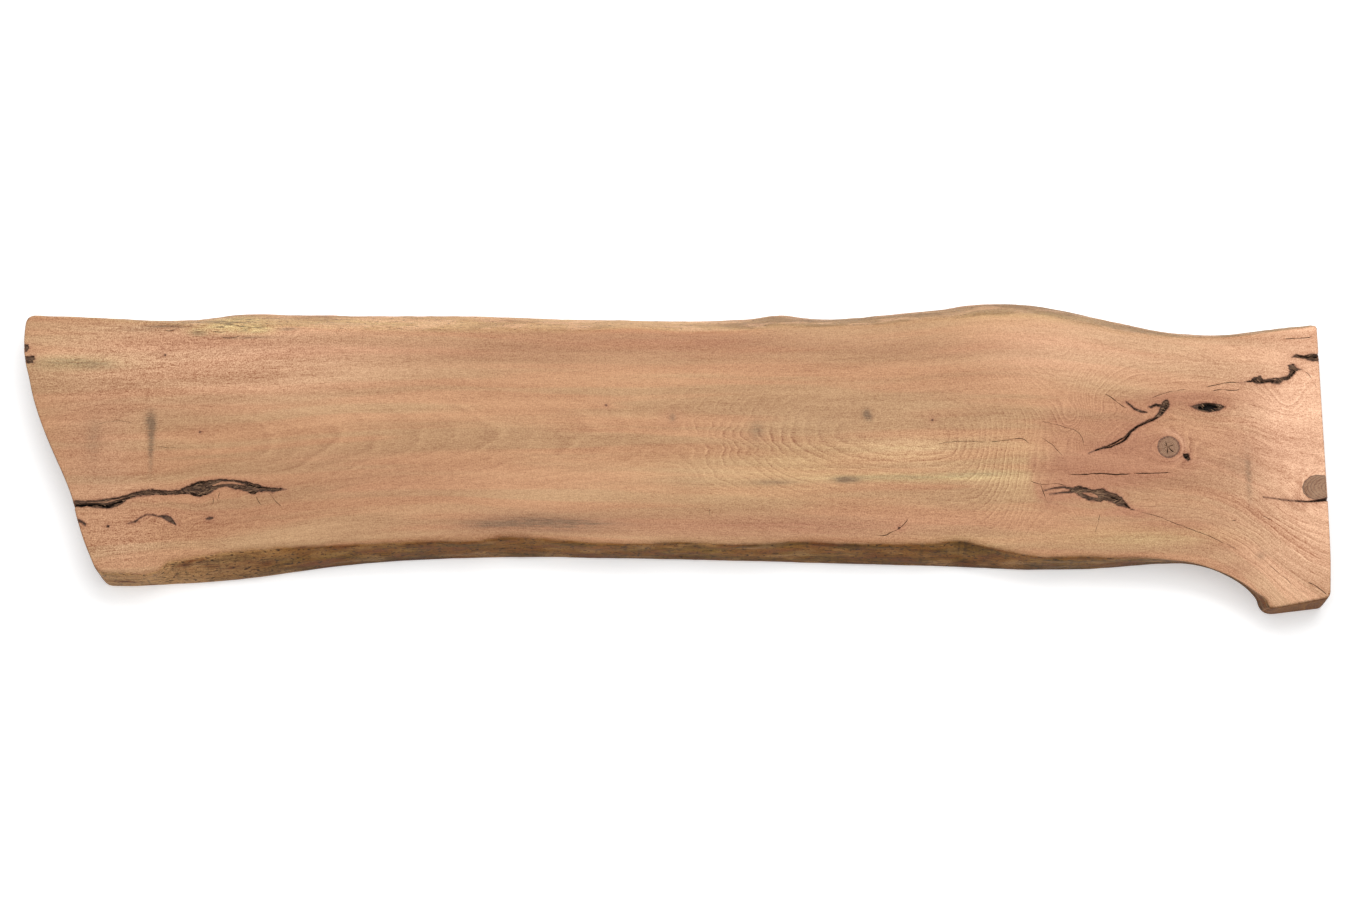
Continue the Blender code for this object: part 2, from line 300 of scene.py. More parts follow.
# %% [markdown]
# ## Bark pockets, knots and checks
# Where the trunk forked, bark was folded into the wood. The saw opened it as ragged brown pockets, and one
# knot fell out and left a hole. They could be drawn as dark patches, but then they would have no rim and no
# shadow. Here each is a hollow in the top: an outline read off in millimetres, roughened with noise
# that is longer along the grain, and a depth. Drying checks are thin grooves along a line.

# %% Outlines of the pockets
LONG_POCKET = (
    (-1130, -100), (-1080, -101), (-1048, -98), (-1021, -94), (-999, -86), (-983, -82), (-961, -80),
    (-934, -82), (-912, -80), (-896, -73), (-880, -65), (-859, -62), (-826, -59), (-809, -62), (-788, -64),
    (-771, -69), (-760, -73), (-743, -76), (-724, -77), (-713, -80), (-727, -81), (-738, -86), (-746, -83),
    (-754, -84), (-768, -86), (-776, -89), (-787, -83), (-801, -80), (-814, -77), (-825, -74), (-836, -77),
    (-847, -80), (-852, -86), (-863, -91), (-874, -93), (-885, -91), (-896, -87), (-912, -89), (-934, -90),
    (-956, -90), (-977, -91), (-999, -95), (-1012, -103), (-1025, -112), (-1041, -116), (-1063, -114),
    (-1085, -112), (-1130, -113),
)
CROTCH_POCKET = (
    (739, -81), (750, -75), (761, -73), (772, -77), (786, -80), (801, -78), (812, -84), (825, -88),
    (836, -95), (844, -106), (852, -116), (859, -119), (844, -115), (827, -110), (814, -103), (802, -100),
    (797, -104), (777, -101), (763, -95), (752, -88), (744, -85),
)
BRANCHED_POCKET = (
    (1064, 127), (1087, 131), (1093, 137), (1105, 140), (1110, 133), (1127, 135), (1144, 137), (1156, 140),
    (1162, 149), (1158, 161), (1168, 163), (1177, 155), (1184, 153), (1173, 149), (1167, 140), (1158, 133),
    (1147, 131), (1141, 124), (1132, 125), (1121, 128), (1110, 125), (1098, 125), (1090, 128),
)
END_POCKET = (
    (1166, 177), (1175, 182), (1189, 179), (1198, 183), (1240, 182), (1240, 166), (1203, 170), (1192, 173),
    (1181, 175),
)
KNOT_HOLE = ((971, 81), (985, 85), (1005, 88), (1025, 85), (1037, 80), (1025, 72), (1005, 69), (985, 73))
SMALL_KNOT_HOLE = ((953, -11), (963, -11), (967, -22), (962, -25), (954, -18))
UPPER_NICK = ((-1230, 203), (-1209, 201), (-1207, 194), (-1211, 187), (-1230, 190))
LOWER_NICK = (
    (-1230, 179), (-1197, 179), (-1194, 173), (-1200, 170), (-1195, 165), (-1206, 165), (-1230, 171),
)
LEFT_EDGE_BARK = (
    (-1120, -135), (-1096, -136), (-1088, -139), (-1081, -145), (-1082, -149), (-1090, -143), (-1120, -141),
)

FLOWING_CRACK = (
    (778, -10, 0.4), (790, -5, 0.9), (804, 0, 1.8), (819, 4, 3.0), (834, 11, 3.7), (847, 19, 3.5),
    (858, 32, 2.3), (873, 43, 2.0), (890, 51, 2.2), (905, 58, 2.7), (914, 66, 4.0), (920, 75, 6.0),
    (925, 84, 7.2), (927, 90, 4.0),
)
CRACK_SPUR = ((916, 81, 3), (907, 84, 2.2), (898, 79, 2.2), (893, 80, 0.8))
UPPER_CRACK = ((852, 89, 0.8), (861, 81, 1.8), (866, 76, 1.6), (877, 71, 2.2), (889, 69, 1.0))
ARC_POCKET = (
    (-1003, -144, 0.6), (-990, -141, 1.6), (-982, -134, 0.9), (-970, -128, 0.9), (-959, -128, 0.8),
    (-948, -131, 1.0), (-941, -131, 2.2), (-934, -133, 4.3), (-926, -137, 4.6), (-920, -142, 2.8),
    (-915, -147, 0.8),
)
CROTCH_TAIL_UPPER = ((691, -82, 0.6), (711, -77, 1.2), (728, -75, 1.6), (748, -79, 2.5))
CROTCH_TAIL_LOWER = ((702, -89, 0.6), (722, -86, 1.4), (746, -84, 2.2))
END_CHECK = ((1098, -94, 0.4), (1148, -101, 0.8), (1181, -103, 1.3), (1200, -101, 2.2), (1235, -95, 4.2))
BARK_SPOT = ((-858, -136, 1.6), (-853, -135, 2.6), (-848, -134, 1.6))

# Each hollow: its outline or its line with half widths, its depth and how ragged its rim is, in millimetres
HOLLOWS = (
    (LONG_POCKET, 4.5, 2.1), (CROTCH_POCKET, 3.5, 1.9), (BRANCHED_POCKET, 3.5, 2.0), (END_POCKET, 3.5, 1.8),
    (KNOT_HOLE, 3.0, 0.7), (SMALL_KNOT_HOLE, 9.0, 0.7), (UPPER_NICK, 3.0, 1.4), (LOWER_NICK, 4.0, 1.6),
    (LEFT_EDGE_BARK, 2.5, 1.0), (FLOWING_CRACK, 4.5, 0.9), (CRACK_SPUR, 3.0, 0.8), (UPPER_CRACK, 4.0, 0.7),
    (ARC_POCKET, 2.2, 0.7), (CROTCH_TAIL_UPPER, 2.0, 0.5), (CROTCH_TAIL_LOWER, 2.0, 0.5),
    (END_CHECK, 9.0, 0.3), (BARK_SPOT, 2.0, 0.4),
)
print("hollows:", len(HOLLOWS))

# %% [markdown]
# Inside the pockets the bark isn't even. Slits drop away into the dark, and here and there clean wood or a
# ridge of bark reaches back up to the surface. Small round pits are pin holes, and the ring of them round
# the dead knot is what is left of its bark.

# %% Slits, islands, pits and checks
SLITS = (
    ((-1130, -110, 2.6), (-1069, -109, 1.8), (-1042, -111, 2.4), (-1018, -101, 1.2), (-999, -93, 0.6)),
    ((-960, -90, 0.4), (-930, -90, 0.9), (-901, -86, 0.6)),
    ((-892, -88, 0.6), (-879, -90, 1.5), (-858, -89, 0.8), (-848, -83, 0.3)),
    ((-895, -74, 0.4), (-880, -68, 0.8), (-858, -64, 0.3)),
    ((-788, -68, 0.5), (-770, -74, 1.1), (-746, -79, 0.6)),
    ((-782, -84, 0.8), (-770, -86, 1.1), (-756, -83, 0.5)),
    ((990, 79, 3.5), (1005, 79, 7.6), (1018, 78.5, 5)), ((918, 68, 0.8), (925, 78, 1.6), (928, 87, 1.2)),
    ((903, 81.5, 1.2), (915, 83, 0.8)), ((814, -93, 0.8), (823, -97, 1.7), (834, -101, 1.2)),
    ((838, -104, 0.5), (849, -114, 0.9)), ((1156, 135, 0.8), (1166, 143, 1.2), (1172, 152, 1.0)),
    ((1092, 130, 0.5), (1110, 129, 0.8), (1130, 130, 0.5)),
    ((1180, 178, 0.5), (1205, 178, 1.0), (1240, 176, 0.8)),
    (
        (790, -5, 0.6), (822, 2, 0.9), (842, 12, 0.9), (852, 23, 0.9), (868, 40, 0.8), (892, 50, 0.9),
        (910, 60, 0.8),
    ),
    (
        (800, 3, 0.4), (824, 8, 0.6), (840, 18, 0.6), (852, 32, 0.6), (868, 45, 0.5), (888, 55, 0.6),
        (906, 62, 0.4),
    ),
)
SLIT_DEPTH = 9.0
ISLANDS = (
    ((764, -86, 1.8), (778, -89.5, 4.6), (790, -93.5, 3.2)),
    ((-850, -72, 1.6), (-832, -66.5, 3.4), (-810, -67, 3.0), (-790, -71.5, 1.4)),
    ((-842, -79, 0.8), (-822, -74, 1.4)), ((-1095, -104, 1.0), (-1045, -104, 1.8), (-1012, -95, 1.2)),
    ((-780, -78, 0.8), (-764, -80, 1.4)), ((806, -86, 0.6), (818, -92, 1.0)),
    ((1118, 133, 0.8), (1134, 133, 1.2)),
    ((808, 1, 0.6), (819, 4.5, 1.6), (833, 11, 2.0), (844, 17.5, 1.7), (851, 25, 0.8)),
    ((872, 43, 0.8), (892, 52, 1.1), (904, 58, 0.6)),
)
PIN_HOLES = (
    (-950, 181, 1.5), (-878, 31, 1.3), (488, 54, 1.5), (-121, 83, 1.3), (-1040, -150, 2.4), (422, -153, 1.9),
)
DEAD_KNOT = (927, 2, 20)
KNOT_PIT_COUNT = 19
KNOT_PIT_ANGLE = 0.33
KNOT_PIT_RING = DEAD_KNOT[2] - 0.6
EDGE_KNOT = (
    (1240, -54), (1212, -53), (1199, -52), (1187, -56), (1177, -64), (1172, -75), (1174, -87), (1182, -95),
    (1196, -99), (1240, -96),
)
EDGE_KNOT_HEART = (1232, -76)

# Each check: half its width, then its line
CHECKS = (
    (0.45, ((492, 6), (522, 12), (556, 13), (590, 11))),
    (0.7, ((590, 11), (623, 15), (643, 18), (657, 17), (669, 5))),
    (1.4, ((735, -50), (759, -51), (796, -49), (830, -51), (858, -49))),
    (1.1, ((858, -49), (909, -48), (930, -46))),
    (0.8, ((376, -167), (399, -166), (411, -160), (422, -154), (434, -143), (442, -132))),
    (0.8, ((1151, 213), (1183, 214), (1214, 217))),
    (0.6, ((1185, 151), (1196, 143), (1206, 125), (1213, 111))),
    (0.8, ((1010, 110), (1029, 113), (1058, 112), (1070, 115))),
    (0.8, ((1000, 118), (1020, 122), (1050, 127), (1066, 127))),
    (0.9, ((1168, -253), (1186, -263), (1202, -277), (1209, -285))),
    (0.4, ((1092, -215), (1106, -227), (1132, -249), (1150, -270), (1172, -275))),
    (0.7, ((1036, -139), (1046, -139))), (0.5, ((1092, -129), (1112, -138))),
    (0.45, ((796, -123), (789, -146), (782, -166))),
    (0.8, ((808, 106), (819, 102), (830, 93), (841, 84), (855, 75))),
    (0.6, ((-849, -91), (-847, -103), (-852, -114))), (0.5, ((-836, -83), (-840, -105))),
    (0.5, ((-746, -84), (-734, -100), (-719, -114))), (0.5, ((-770, -91), (-764, -102), (-756, -111))),
    (0.6, ((684, -59), (688, -77), (694, -94), (701, -110))),
    (0.6, ((664, -62), (690, -70), (712, -68), (735, -72))),
    (1.9, ((918, 7), (925, 2), (931, -4), (939, -9))), (1.7, ((912, -2), (925, 2), (939, 7))),
    (1.7, ((921, 14), (924, 2), (925, -12))),
    (0.55, ((862, -120), (900, -131), (940, -147), (985, -165), (1022, -182), (1048, -195))),
    (0.45, ((688, 52), (716, 46), (740, 39), (755, 33), (767, 17), (768, 3))),
    (0.45, ((688, 22), (706, 10), (721, -6), (733, -18))), (1.0, ((914, -1), (925, 2))),
    (0.4, ((-1075, 45), (-1030, 52), (-1000, 47))), (0.4, ((-960, 5), (-935, 0), (-915, 2))),
    (0.4, ((71, -114), (72, -124), (73, -133))), (0.45, ((896, 96), (930, 108), (968, 114))),
    (0.9, ((-888, 239), (-874, 236), (-862, 238))), (0.8, ((-866, 228), (-846, 226), (-832, 229))),
    (0.8, ((-884, 250), (-868, 252), (-856, 249))), (1.1, ((-824, 261), (-812, 260), (-804, 262))),
    (0.8, ((-852, 243), (-838, 241), (-826, 243))),
    (0.9, ((-800, 226), (-788, 232), (-776, 231), (-764, 233))),
    (0.7, ((-852, 217), (-836, 215), (-818, 217), (-806, 221))),
    (0.9, ((-948, 239), (-932, 237), (-916, 238))), (0.7, ((-960, 231), (-944, 229), (-930, 231))),
)
CHECK_DEPTH = 2.5

# A ring of pits round the dead knot, as if pricked by hand
knot_pits = np.random.default_rng(5)
pit_angles = np.arange(KNOT_PIT_COUNT) * KNOT_PIT_ANGLE + knot_pits.uniform(-0.1, 0.1, KNOT_PIT_COUNT)
PITS = PIN_HOLES + tuple(
    (
        DEAD_KNOT[0] + KNOT_PIT_RING * math.cos(angle),
        DEAD_KNOT[1] + KNOT_PIT_RING * math.sin(angle),
        knot_pits.uniform(0.5, 1.1),
    )
    for angle in pit_angles
)
print("slits:", len(SLITS), "islands:", len(ISLANDS), "pits:", len(PITS), "checks:", len(CHECKS))

# %% [markdown]
# ## Distance to a rim
# Everything about a hollow follows from one number, the distance from a point of the top to the nearest rim:
# below zero it is inside. Measuring every point against every outline would be slow, so each outline is
# asked only about the points in a box round it.

# %% Distances to outlines and lines
FAR = 60.0


def rim_distance(x, y, rim):
    """Distance to a closed outline, negative inside it."""
    nearest = np.full(x.shape, np.inf)
    inside = np.zeros(x.shape, bool)
    for (ax, ay), (bx, by) in zip(rim, rim[1:] + rim[:1]):
        ex, ey = bx - ax, by - ay
        t = np.clip(((x - ax) * ex + (y - ay) * ey) / (ex * ex + ey * ey), 0, 1)
        nearest = np.minimum(nearest, np.hypot(x - ax - t * ex, y - ay - t * ey))
        inside ^= ((ay > y) != (by > y)) & (x < ax + (y - ay) * ex / (ey or 1.0))
    return np.where(inside, -nearest, nearest)


def line_distance(x, y, chain):
    """Distance to a line of changing half width, negative within that half width."""
    nearest = np.full(x.shape, np.inf)
    for (ax, ay, aw), (bx, by, bw) in zip(chain, chain[1:]):
        ex, ey = bx - ax, by - ay
        t = np.clip(((x - ax) * ex + (y - ay) * ey) / (ex * ex + ey * ey), 0, 1)
        nearest = np.minimum(nearest, np.hypot(x - ax - t * ex, y - ay - t * ey) - (aw + t * (bw - aw)))
    return nearest


def distance_near(x, y, shape, reach=FAR):
    """Either distance, worked out only within reach of the shape."""
    xs, ys = [p[0] for p in shape], [p[1] for p in shape]
    near = (x > min(xs) - reach) & (x < max(xs) + reach) & (y > min(ys) - reach) & (y < max(ys) + reach)
    distance = np.full(x.shape, reach)
    measure = line_distance if len(shape[0]) == 3 else rim_distance
    distance[near] = np.minimum(measure(x[near], y[near], shape), reach)
    return distance


def ragged(x, y):
    """Torn fibres along a rim: coarse and fine, both longer along the grain."""
    return 0.6 * noise(x / 9, y / 2.4, 31) + 0.45 * noise(x / 3.6, y / 1.3, 37)


def hollow_distance(x, y):
    """Distance to the nearest hollow's ragged rim, and the depth of that hollow."""
    gap = np.full(x.shape, FAR)
    depth = np.zeros(x.shape)
    tear = ragged(x, y)
    for shape, deep, rag in HOLLOWS:
        here = distance_near(x, y, shape)
        here = np.where(here < FAR, here + rag * tear, FAR)
        depth = np.where(here < gap, deep, depth)
        gap = np.minimum(gap, here)
    for px, py, radius in PITS:
        here = np.hypot(x - px, y - py) - radius
        depth = np.where(here < gap, radius * 2, depth)
        gap = np.minimum(gap, here)
    return gap, depth


def knot_distance(x, y):
    """Distance to the rim of the nearer of the two knots that are flush with the top."""
    round_knot = np.hypot(x - DEAD_KNOT[0], y - DEAD_KNOT[1]) - DEAD_KNOT[2] + 0.8 * noise(x / 7, y / 7, 3)
    return np.minimum(round_knot, distance_near(x, y, EDGE_KNOT) + 0.6 * noise(x / 7, y / 7, 5))


def nearest_of(x, y, shapes, reach):
    """Distance to the nearest of several shapes."""
    return np.min([distance_near(x, y, shape, reach) for shape in shapes], axis=0)


print("nearest hollow to the middle, mm:", hollow_distance(np.zeros(1), np.zeros(1))[0].round(1))

# %% [markdown]
# ## Points of the top
# A flat board needs few points, a torn rim needs many. The top is filled with three hexagonal lattices, 1.4
# mm apart in and round the hollows, then 3.2 mm, then 5.6 mm. Points that fall close to a rim are moved onto
# it, so that the rim is a crisp line and not a staircase. Each check adds three rows of its own: two rims
# and the bottom.

# %% Points on and round the hollows
ZONES = ((1.4, -FAR, 2.4), (3.2, 2.4, 12.0), (5.6, 12.0, FAR * 2))
WALL_WIDTH = 1.2
RIM_PULL = 0.6
WALL_PULL = 0.5
LEAST_SLOPE = 0.3
CHECK_STEP = 1.7
CHECK_WANDER = 0.7


def hex_lattice(low, high, step):
    """Points a step apart, every other row shifted by half a step."""
    rows = np.arange(low[1], high[1], step * math.sqrt(0.75))
    x, y = np.meshgrid(np.arange(low[0], high[0], step), rows)
    x[1::2] += step / 2
    return x.ravel(), y.ravel()


def busy_distance(x, y):
    """Distance to whatever needs fine triangles."""
    return np.minimum(hollow_distance(x, y)[0], knot_distance(x, y))


def snapped(x, y, level, reach):
    """Points near one level of the distance to a rim, moved onto it."""
    probe = 0.15
    gap = hollow_distance(x, y)[0]
    slope_x = (hollow_distance(x + probe, y)[0] - gap) / probe
    slope_y = (hollow_distance(x, y + probe)[0] - gap) / probe
    steep = np.maximum(slope_x**2 + slope_y**2, LEAST_SLOPE)
    move = np.where(np.abs(gap - level) < reach, (level - gap) / steep, 0.0)
    return x + move * slope_x, y + move * slope_y


def check_rows(half_width, points):
    """The bottom of a check and its two rims, wandering a little, and how open it is along its length."""
    line = smooth_line(points, CHECK_STEP)
    wander = np.column_stack([noise(line[:, 0] / 9, line[:, 1] / 9, layer) for layer in (51, 57)])
    line = line + CHECK_WANDER * wander
    from_end = np.minimum(np.arange(len(line)), np.arange(len(line))[::-1])
    uneven = 0.8 + 0.6 * noise(line[:, 0] / 11, line[:, 1] / 11, 59)
    opening = smoothstep(0, min(7, len(line) / 4), from_end) * uneven
    half = half_width * np.clip(opening, 0.12, 1)
    return line, moved_inwards(line, half), moved_inwards(line, -half), np.clip(opening, 0, 1)


top_low, top_high = np.min(rings[-1], axis=0), np.max(rings[-1], axis=0)
lattices = []
for step, low_gap, high_gap in ZONES:
    x, y = hex_lattice(top_low, top_high, step)
    gap = busy_distance(x, y)
    keep = (gap >= low_gap) & (gap < high_gap)
    lattices.append((x[keep], y[keep]))
on_rims = snapped(*lattices[0], 0.0, RIM_PULL)
lattices[0] = snapped(*on_rims, -WALL_WIDTH, WALL_PULL)
check_lines = [check_rows(*check) for check in CHECKS]
print("lattice points:", [len(x) for x, _ in lattices])

# %% [markdown]
# The points are joined into triangles by a constrained Delaunay triangulation: it finds the best-shaped
# triangles that keep the edges it is given, here the outline and the checks. Points too close to those edges
# would only make slivers, so they go first.

# %% Triangulate the top
CHECK_CLEARANCE = 1.4
OUTLINE_CLEARANCE = 2.3
INNER_RING = 1.6
OUTLINE_PIECE = 40


def filled(outline, inner, edges):
    """Triangles inside an outline and through the inner points: places, faces, and each input's place."""
    given = [Vector(p) for p in np.vstack((outline, inner))]
    loop = [(i, (i + 1) % len(outline)) for i in range(len(outline))]
    places, _, faces, origins, _, _ = delaunay_2d_cdt(given, loop + edges, [], 1, 0.01)
    where = np.zeros(len(given), int)
    for place, inputs in enumerate(origins):
        where[inputs] = place
    return np.array([tuple(p) for p in places]), faces, where


def clear_of_outline(x, y, outline, clearance):
    """Which points lie further than that from the outline, which is asked piece by piece to save time."""
    chain = [(px, py, 0.0) for px, py in outline[::3]]
    chain.append(chain[0])
    keep = np.ones(x.shape, bool)
    for start in range(0, len(chain) - 1, OUTLINE_PIECE):
        part = chain[start : start + OUTLINE_PIECE + 1]
        keep &= distance_near(x, y, part, clearance + 0.5) > clearance
    return keep


top_outline = rings[-1]
inner_outline = outline_at(THICKNESS, inset=INNER_RING)
x = np.concatenate([px for px, _ in lattices])
y = np.concatenate([py for _, py in lattices])
check_chains = [[(px, py, 0.0) for px, py in line] for line, _, _, _ in check_lines]
keep = clear_of_outline(x, y, top_outline, OUTLINE_CLEARANCE)
keep &= nearest_of(x, y, check_chains, 3.0) > CHECK_CLEARANCE
inner_points = [np.column_stack((x[keep], y[keep])), inner_outline]
next_point = len(top_outline) + int(keep.sum()) + len(inner_outline)
check_edges = []
openings = [np.zeros(next_point)]
for middle, left_rim, right_rim, opening in check_lines:
    for row, here in ((middle, opening), (left_rim, 0 * opening), (right_rim, 0 * opening)):
        check_edges += [(i, i + 1) for i in range(next_point, next_point + len(row) - 1)]
        next_point += len(row)
        inner_points.append(row)
        openings.append(here)
top_places, top_faces, top_where = filled(top_outline, np.vstack(inner_points), check_edges)
top_groove = np.zeros(len(top_places))
np.maximum.at(top_groove, top_where, np.concatenate(openings))
print("top:", len(top_places), "points,", len(top_faces), "triangles")

# %% [markdown]
# ## Depth of the top
# Each point of the top now sinks by its depth. A pocket has a short steep wall and an uneven floor of bark,
# the slits go deeper, the islands come back up, and a check is a narrow groove.

# %% Depth at any point of the top


def top_depth(x, y):
    """How far the top lies below the sanded surface, in millimetres, and how much of it is an island."""
    gap, deep = hollow_distance(x, y)
    bark = 0.62 + 0.3 * noise(x / 16, y / 4, 61) + 0.28 * noise(x / 6, y / 1.9, 67)
    bark = bark + 0.14 * noise(x / 2.4, y / 1.4, 71)
    floor = deep * np.clip(bark, 0.12, 1.6)
    slit = smoothstep(1.2, -1.6, nearest_of(x, y, SLITS, 12.0) + 0.8 * ragged(x, y))
    island = smoothstep(1.0, -1.4, nearest_of(x, y, ISLANDS, 12.0) + 0.7 * ragged(x, y))
    floor = (floor + SLIT_DEPTH * slit) * (1 - 0.93 * island * (1 - slit))
    return floor * smoothstep(0.0, -WALL_WIDTH - 0.5 * slit, gap), island


top_sunk, top_island = top_depth(top_places[:, 0], top_places[:, 1])
top_sunk = np.maximum(top_sunk, CHECK_DEPTH * top_groove)
print("deepest, mm:", round(float(top_sunk.max()), 1), "sunk points:", int((top_sunk > 0.2).sum()))

# %% [markdown]
# ## One closed slab
# The top, the rings of the sides and the underside are joined point to point, so that the slab is one closed
# mesh. Where a pocket opens through a saw cut, the column of side points below it is squeezed down with it,
# and the notch shows in the end face as it should.

# %% Join top, sides and underside
UNDERSIDE_STEP = 18.0
UNDERSIDE_CLEARANCE = UNDERSIDE_STEP * 0.3

bottom_outline = rings[0]
x, y = hex_lattice(bottom_outline.min(axis=0), bottom_outline.max(axis=0), UNDERSIDE_STEP)
keep = clear_of_outline(x, y, bottom_outline, UNDERSIDE_CLEARANCE)
bottom_places, bottom_faces, bottom_where = filled(bottom_outline, np.column_stack((x[keep], y[keep])), [])

column_count = len(top_outline)
column_sunk = top_sunk[top_where[:column_count]]
vertices = [np.column_stack((top_places, THICKNESS - top_sunk))]
ring_index = [None] * len(LEVELS)
ring_index[-1] = top_where[:column_count]
next_vertex = len(top_places)
for level in range(1, len(LEVELS) - 1):
    squeezed = LEVELS[level] * (1 - column_sunk / THICKNESS)
    vertices.append(np.column_stack((rings[level], squeezed)))
    ring_index[level] = np.arange(next_vertex, next_vertex + column_count)
    next_vertex += column_count
vertices.append(np.column_stack((bottom_places, np.zeros(len(bottom_places)))))
ring_index[0] = bottom_where[:column_count] + next_vertex

faces = [tuple(face) for face in top_faces]
faces += [tuple(next_vertex + i for i in reversed(face)) for face in bottom_faces]
for lower, upper in zip(ring_index, ring_index[1:]):
    faces += list(zip(lower, np.roll(lower, -1), np.roll(upper, -1), upper))
points = np.vstack(vertices)
print("vertices:", len(points), "triangles:", sum(len(face) - 2 for face in faces))

# %% [markdown]
# ## Which way the grain runs
# Fibres run along the trunk, bend with its edges and flow round knots as water flows round a post. The
# material needs to know this at every point, so each point stores its place in the grain: along, across and
# down. Across is worked out from how far the point lies between the two live edges, then bent round each
# knot and pocket.

# %% Grain coordinates
REAR_FLOW = (
    (-1300, 272), (-1061, 270), (-909, 271), (-757, 278), (-464, 276), (-172, 271), (38, 269), (271, 273),
    (403, 279), (525, 291), (623, 299), (716, 292), (803, 275), (934, 248), (1021, 240), (1107, 244),
    (1300, 262),
)
FRONT_FLOW = (
    (-1300, -262), (-1061, -252), (-912, -243), (-767, -231), (-602, -209), (-437, -197), (-140, -194),
    (188, -201), (537, -211), (772, -214), (917, -207), (990, -214), (1040, -240), (1080, -275),
    (1120, -325), (1180, -390), (1300, -480),
)
HALF_WIDTH = 250.0
# Centre, radius and how much longer than wide, for what the fibres flow round
FLOW_POSTS = (
    (927, 2, 24, 1.2), (1006, 78, 17, 2.0), (795, -92, 20, 2.6), (1135, 130, 14, 2.6), (-845, -76, 20, 3.0),
    (-925, -134, 13, 1.8), (1222, -75, 34, 1.5), (905, 62, 12, 2.0), (1, 59, 7, 1.3), (960, -17, 9, 1.2),
)
rear_flow, front_flow = smooth_line(REAR_FLOW, 10.0), smooth_line(FRONT_FLOW, 10.0)


def grain_across(x, y):
    """Place across the grain, in millimetres from the middle of the slab."""
    rear = np.interp(x, rear_flow[:, 0], rear_flow[:, 1])
    front = np.interp(x, front_flow[:, 0], front_flow[:, 1])
    across = HALF_WIDTH * (2 * (y - front) / (rear - front) - 1)
    for cx, cy, radius, stretch in FLOW_POSTS:
        dx, dy = (x - cx) / stretch, y - cy
        squared = np.maximum(dx**2 + dy**2, (0.8 * radius) ** 2)
        across = across - dy * 0.85 * radius**2 / squared * smoothstep(9, 3, squared / radius**2)
    across += 5.0 * noise(x / 240, y / 95, 13) + 1.6 * noise(x / 85, y / 34, 17)
    curly = np.exp(-(((x + 860) / 150) ** 2) - ((y + 118) / 36) ** 2)
    curly = curly + 0.5 * np.exp(-(((x - 850) / 90) ** 2) - ((y - 40) / 60) ** 2)
    return across + curly * (9 * noise(x / 38, y / 22, 19) + 3 * noise(x / 14, y / 10, 23))


print("across at the foot:", np.round(grain_across(np.array([1190.0]), np.array([-280.0])), 0))

# %% [markdown]
# ## Growth rings
# A tree adds a cone a year. Where the saw runs level with the cones the rings come out as straight lines,
# and where it skims the top of one they come out as ellipses and arches. So the ring number is the distance
# to the pith, and all the figure comes from how deep the pith lies below the top at each place along the
# slab.

# %% Ring numbers
RING_SPACING = 8.2
DEAD_KNOT_RINGS = 3.1
EDGE_KNOT_RINGS = 3.6
EDGE_KNOT_SQUASH = 0.55
PITH_DEPTH = (
    (-1300, 66), (-900, 84), (-560, 120), (-350, 146), (-100, 168), (10, 176), (90, 140), (170, 100),
    (250, 66), (340, 42), (436, 34), (510, 46), (560, 72), (620, 128), (680, 190), (730, 206), (800, 120),
    (880, 60), (1000, 44), (1300, 40),
)
PITH_ACROSS = (
    (-1300, -6), (-560, -5), (0, 8), (150, 8), (300, 0), (436, -8), (560, -30), (620, -46), (700, -60),
    (900, -30), (1300, 0),
)
# Centre, sizes along and across, and by how many millimetres the rings bulge there
RING_BULGES = (
    (927, 2, 40, 34, 34), (760, 62, 34, 30, 30), (800, 20, 40, 26, -18), (835, 70, 30, 16, 14),
    (1150, 84, 46, 40, 38), (1006, 78, 40, 22, 14), (1240, -74, 60, 46, 46), (1, 59, 20, 16, 16),
    (-930, -132, 40, 26, 14), (-845, -80, 90, 26, 12), (640, 60, 70, 50, -22),
)
pith_depth_line, pith_across_line = smooth_line(PITH_DEPTH, 10.0), smooth_line(PITH_ACROSS, 10.0)


def ring_number(x, y, z, across):
    """Growth rings counted from the pith, at a place in the slab."""
    depth = np.interp(x, pith_depth_line[:, 0], pith_depth_line[:, 1]) + z - THICKNESS
    middle = np.interp(x, pith_across_line[:, 0], pith_across_line[:, 1])
    radius = np.hypot(0.85 * (across - middle), depth)
    for cx, cy, along, wide, bulge in RING_BULGES:
        radius = radius + bulge * np.exp(-(((x - cx) / along) ** 2) - ((y - cy) / wide) ** 2)
    wavy = np.exp(-(((x - 85) / 110) ** 2) - ((y - 15) / 85) ** 2)
    radius = radius + wavy * (9 * noise(x / 90, y / 11, 41) + 6 * noise(x / 40, y / 25, 43))
    radius = radius + 3.0 * noise(x / 70, y / 30, 47) + 1.0 * noise(x / 25, y / 12, 53)
    in_knot = np.hypot(x - DEAD_KNOT[0], y - DEAD_KNOT[1])
    rings_here = radius / RING_SPACING
    rings_here = np.where(in_knot < DEAD_KNOT[2], in_knot / DEAD_KNOT_RINGS, rings_here)
    in_edge_knot = np.hypot((x - EDGE_KNOT_HEART[0]) * EDGE_KNOT_SQUASH, y - EDGE_KNOT_HEART[1])
    edge_knot = distance_near(x, y, EDGE_KNOT) < 0
    return np.where(edge_knot & (z > THICKNESS / 2), in_edge_knot / EDGE_KNOT_RINGS, rings_here)


line_x, line_y = np.zeros(50), np.linspace(-190, 260, 50)
middle_rings = ring_number(line_x, line_y, THICKNESS, grain_across(line_x, line_y))
print("rings across the middle:", np.round(np.ptp(middle_rings), 1))
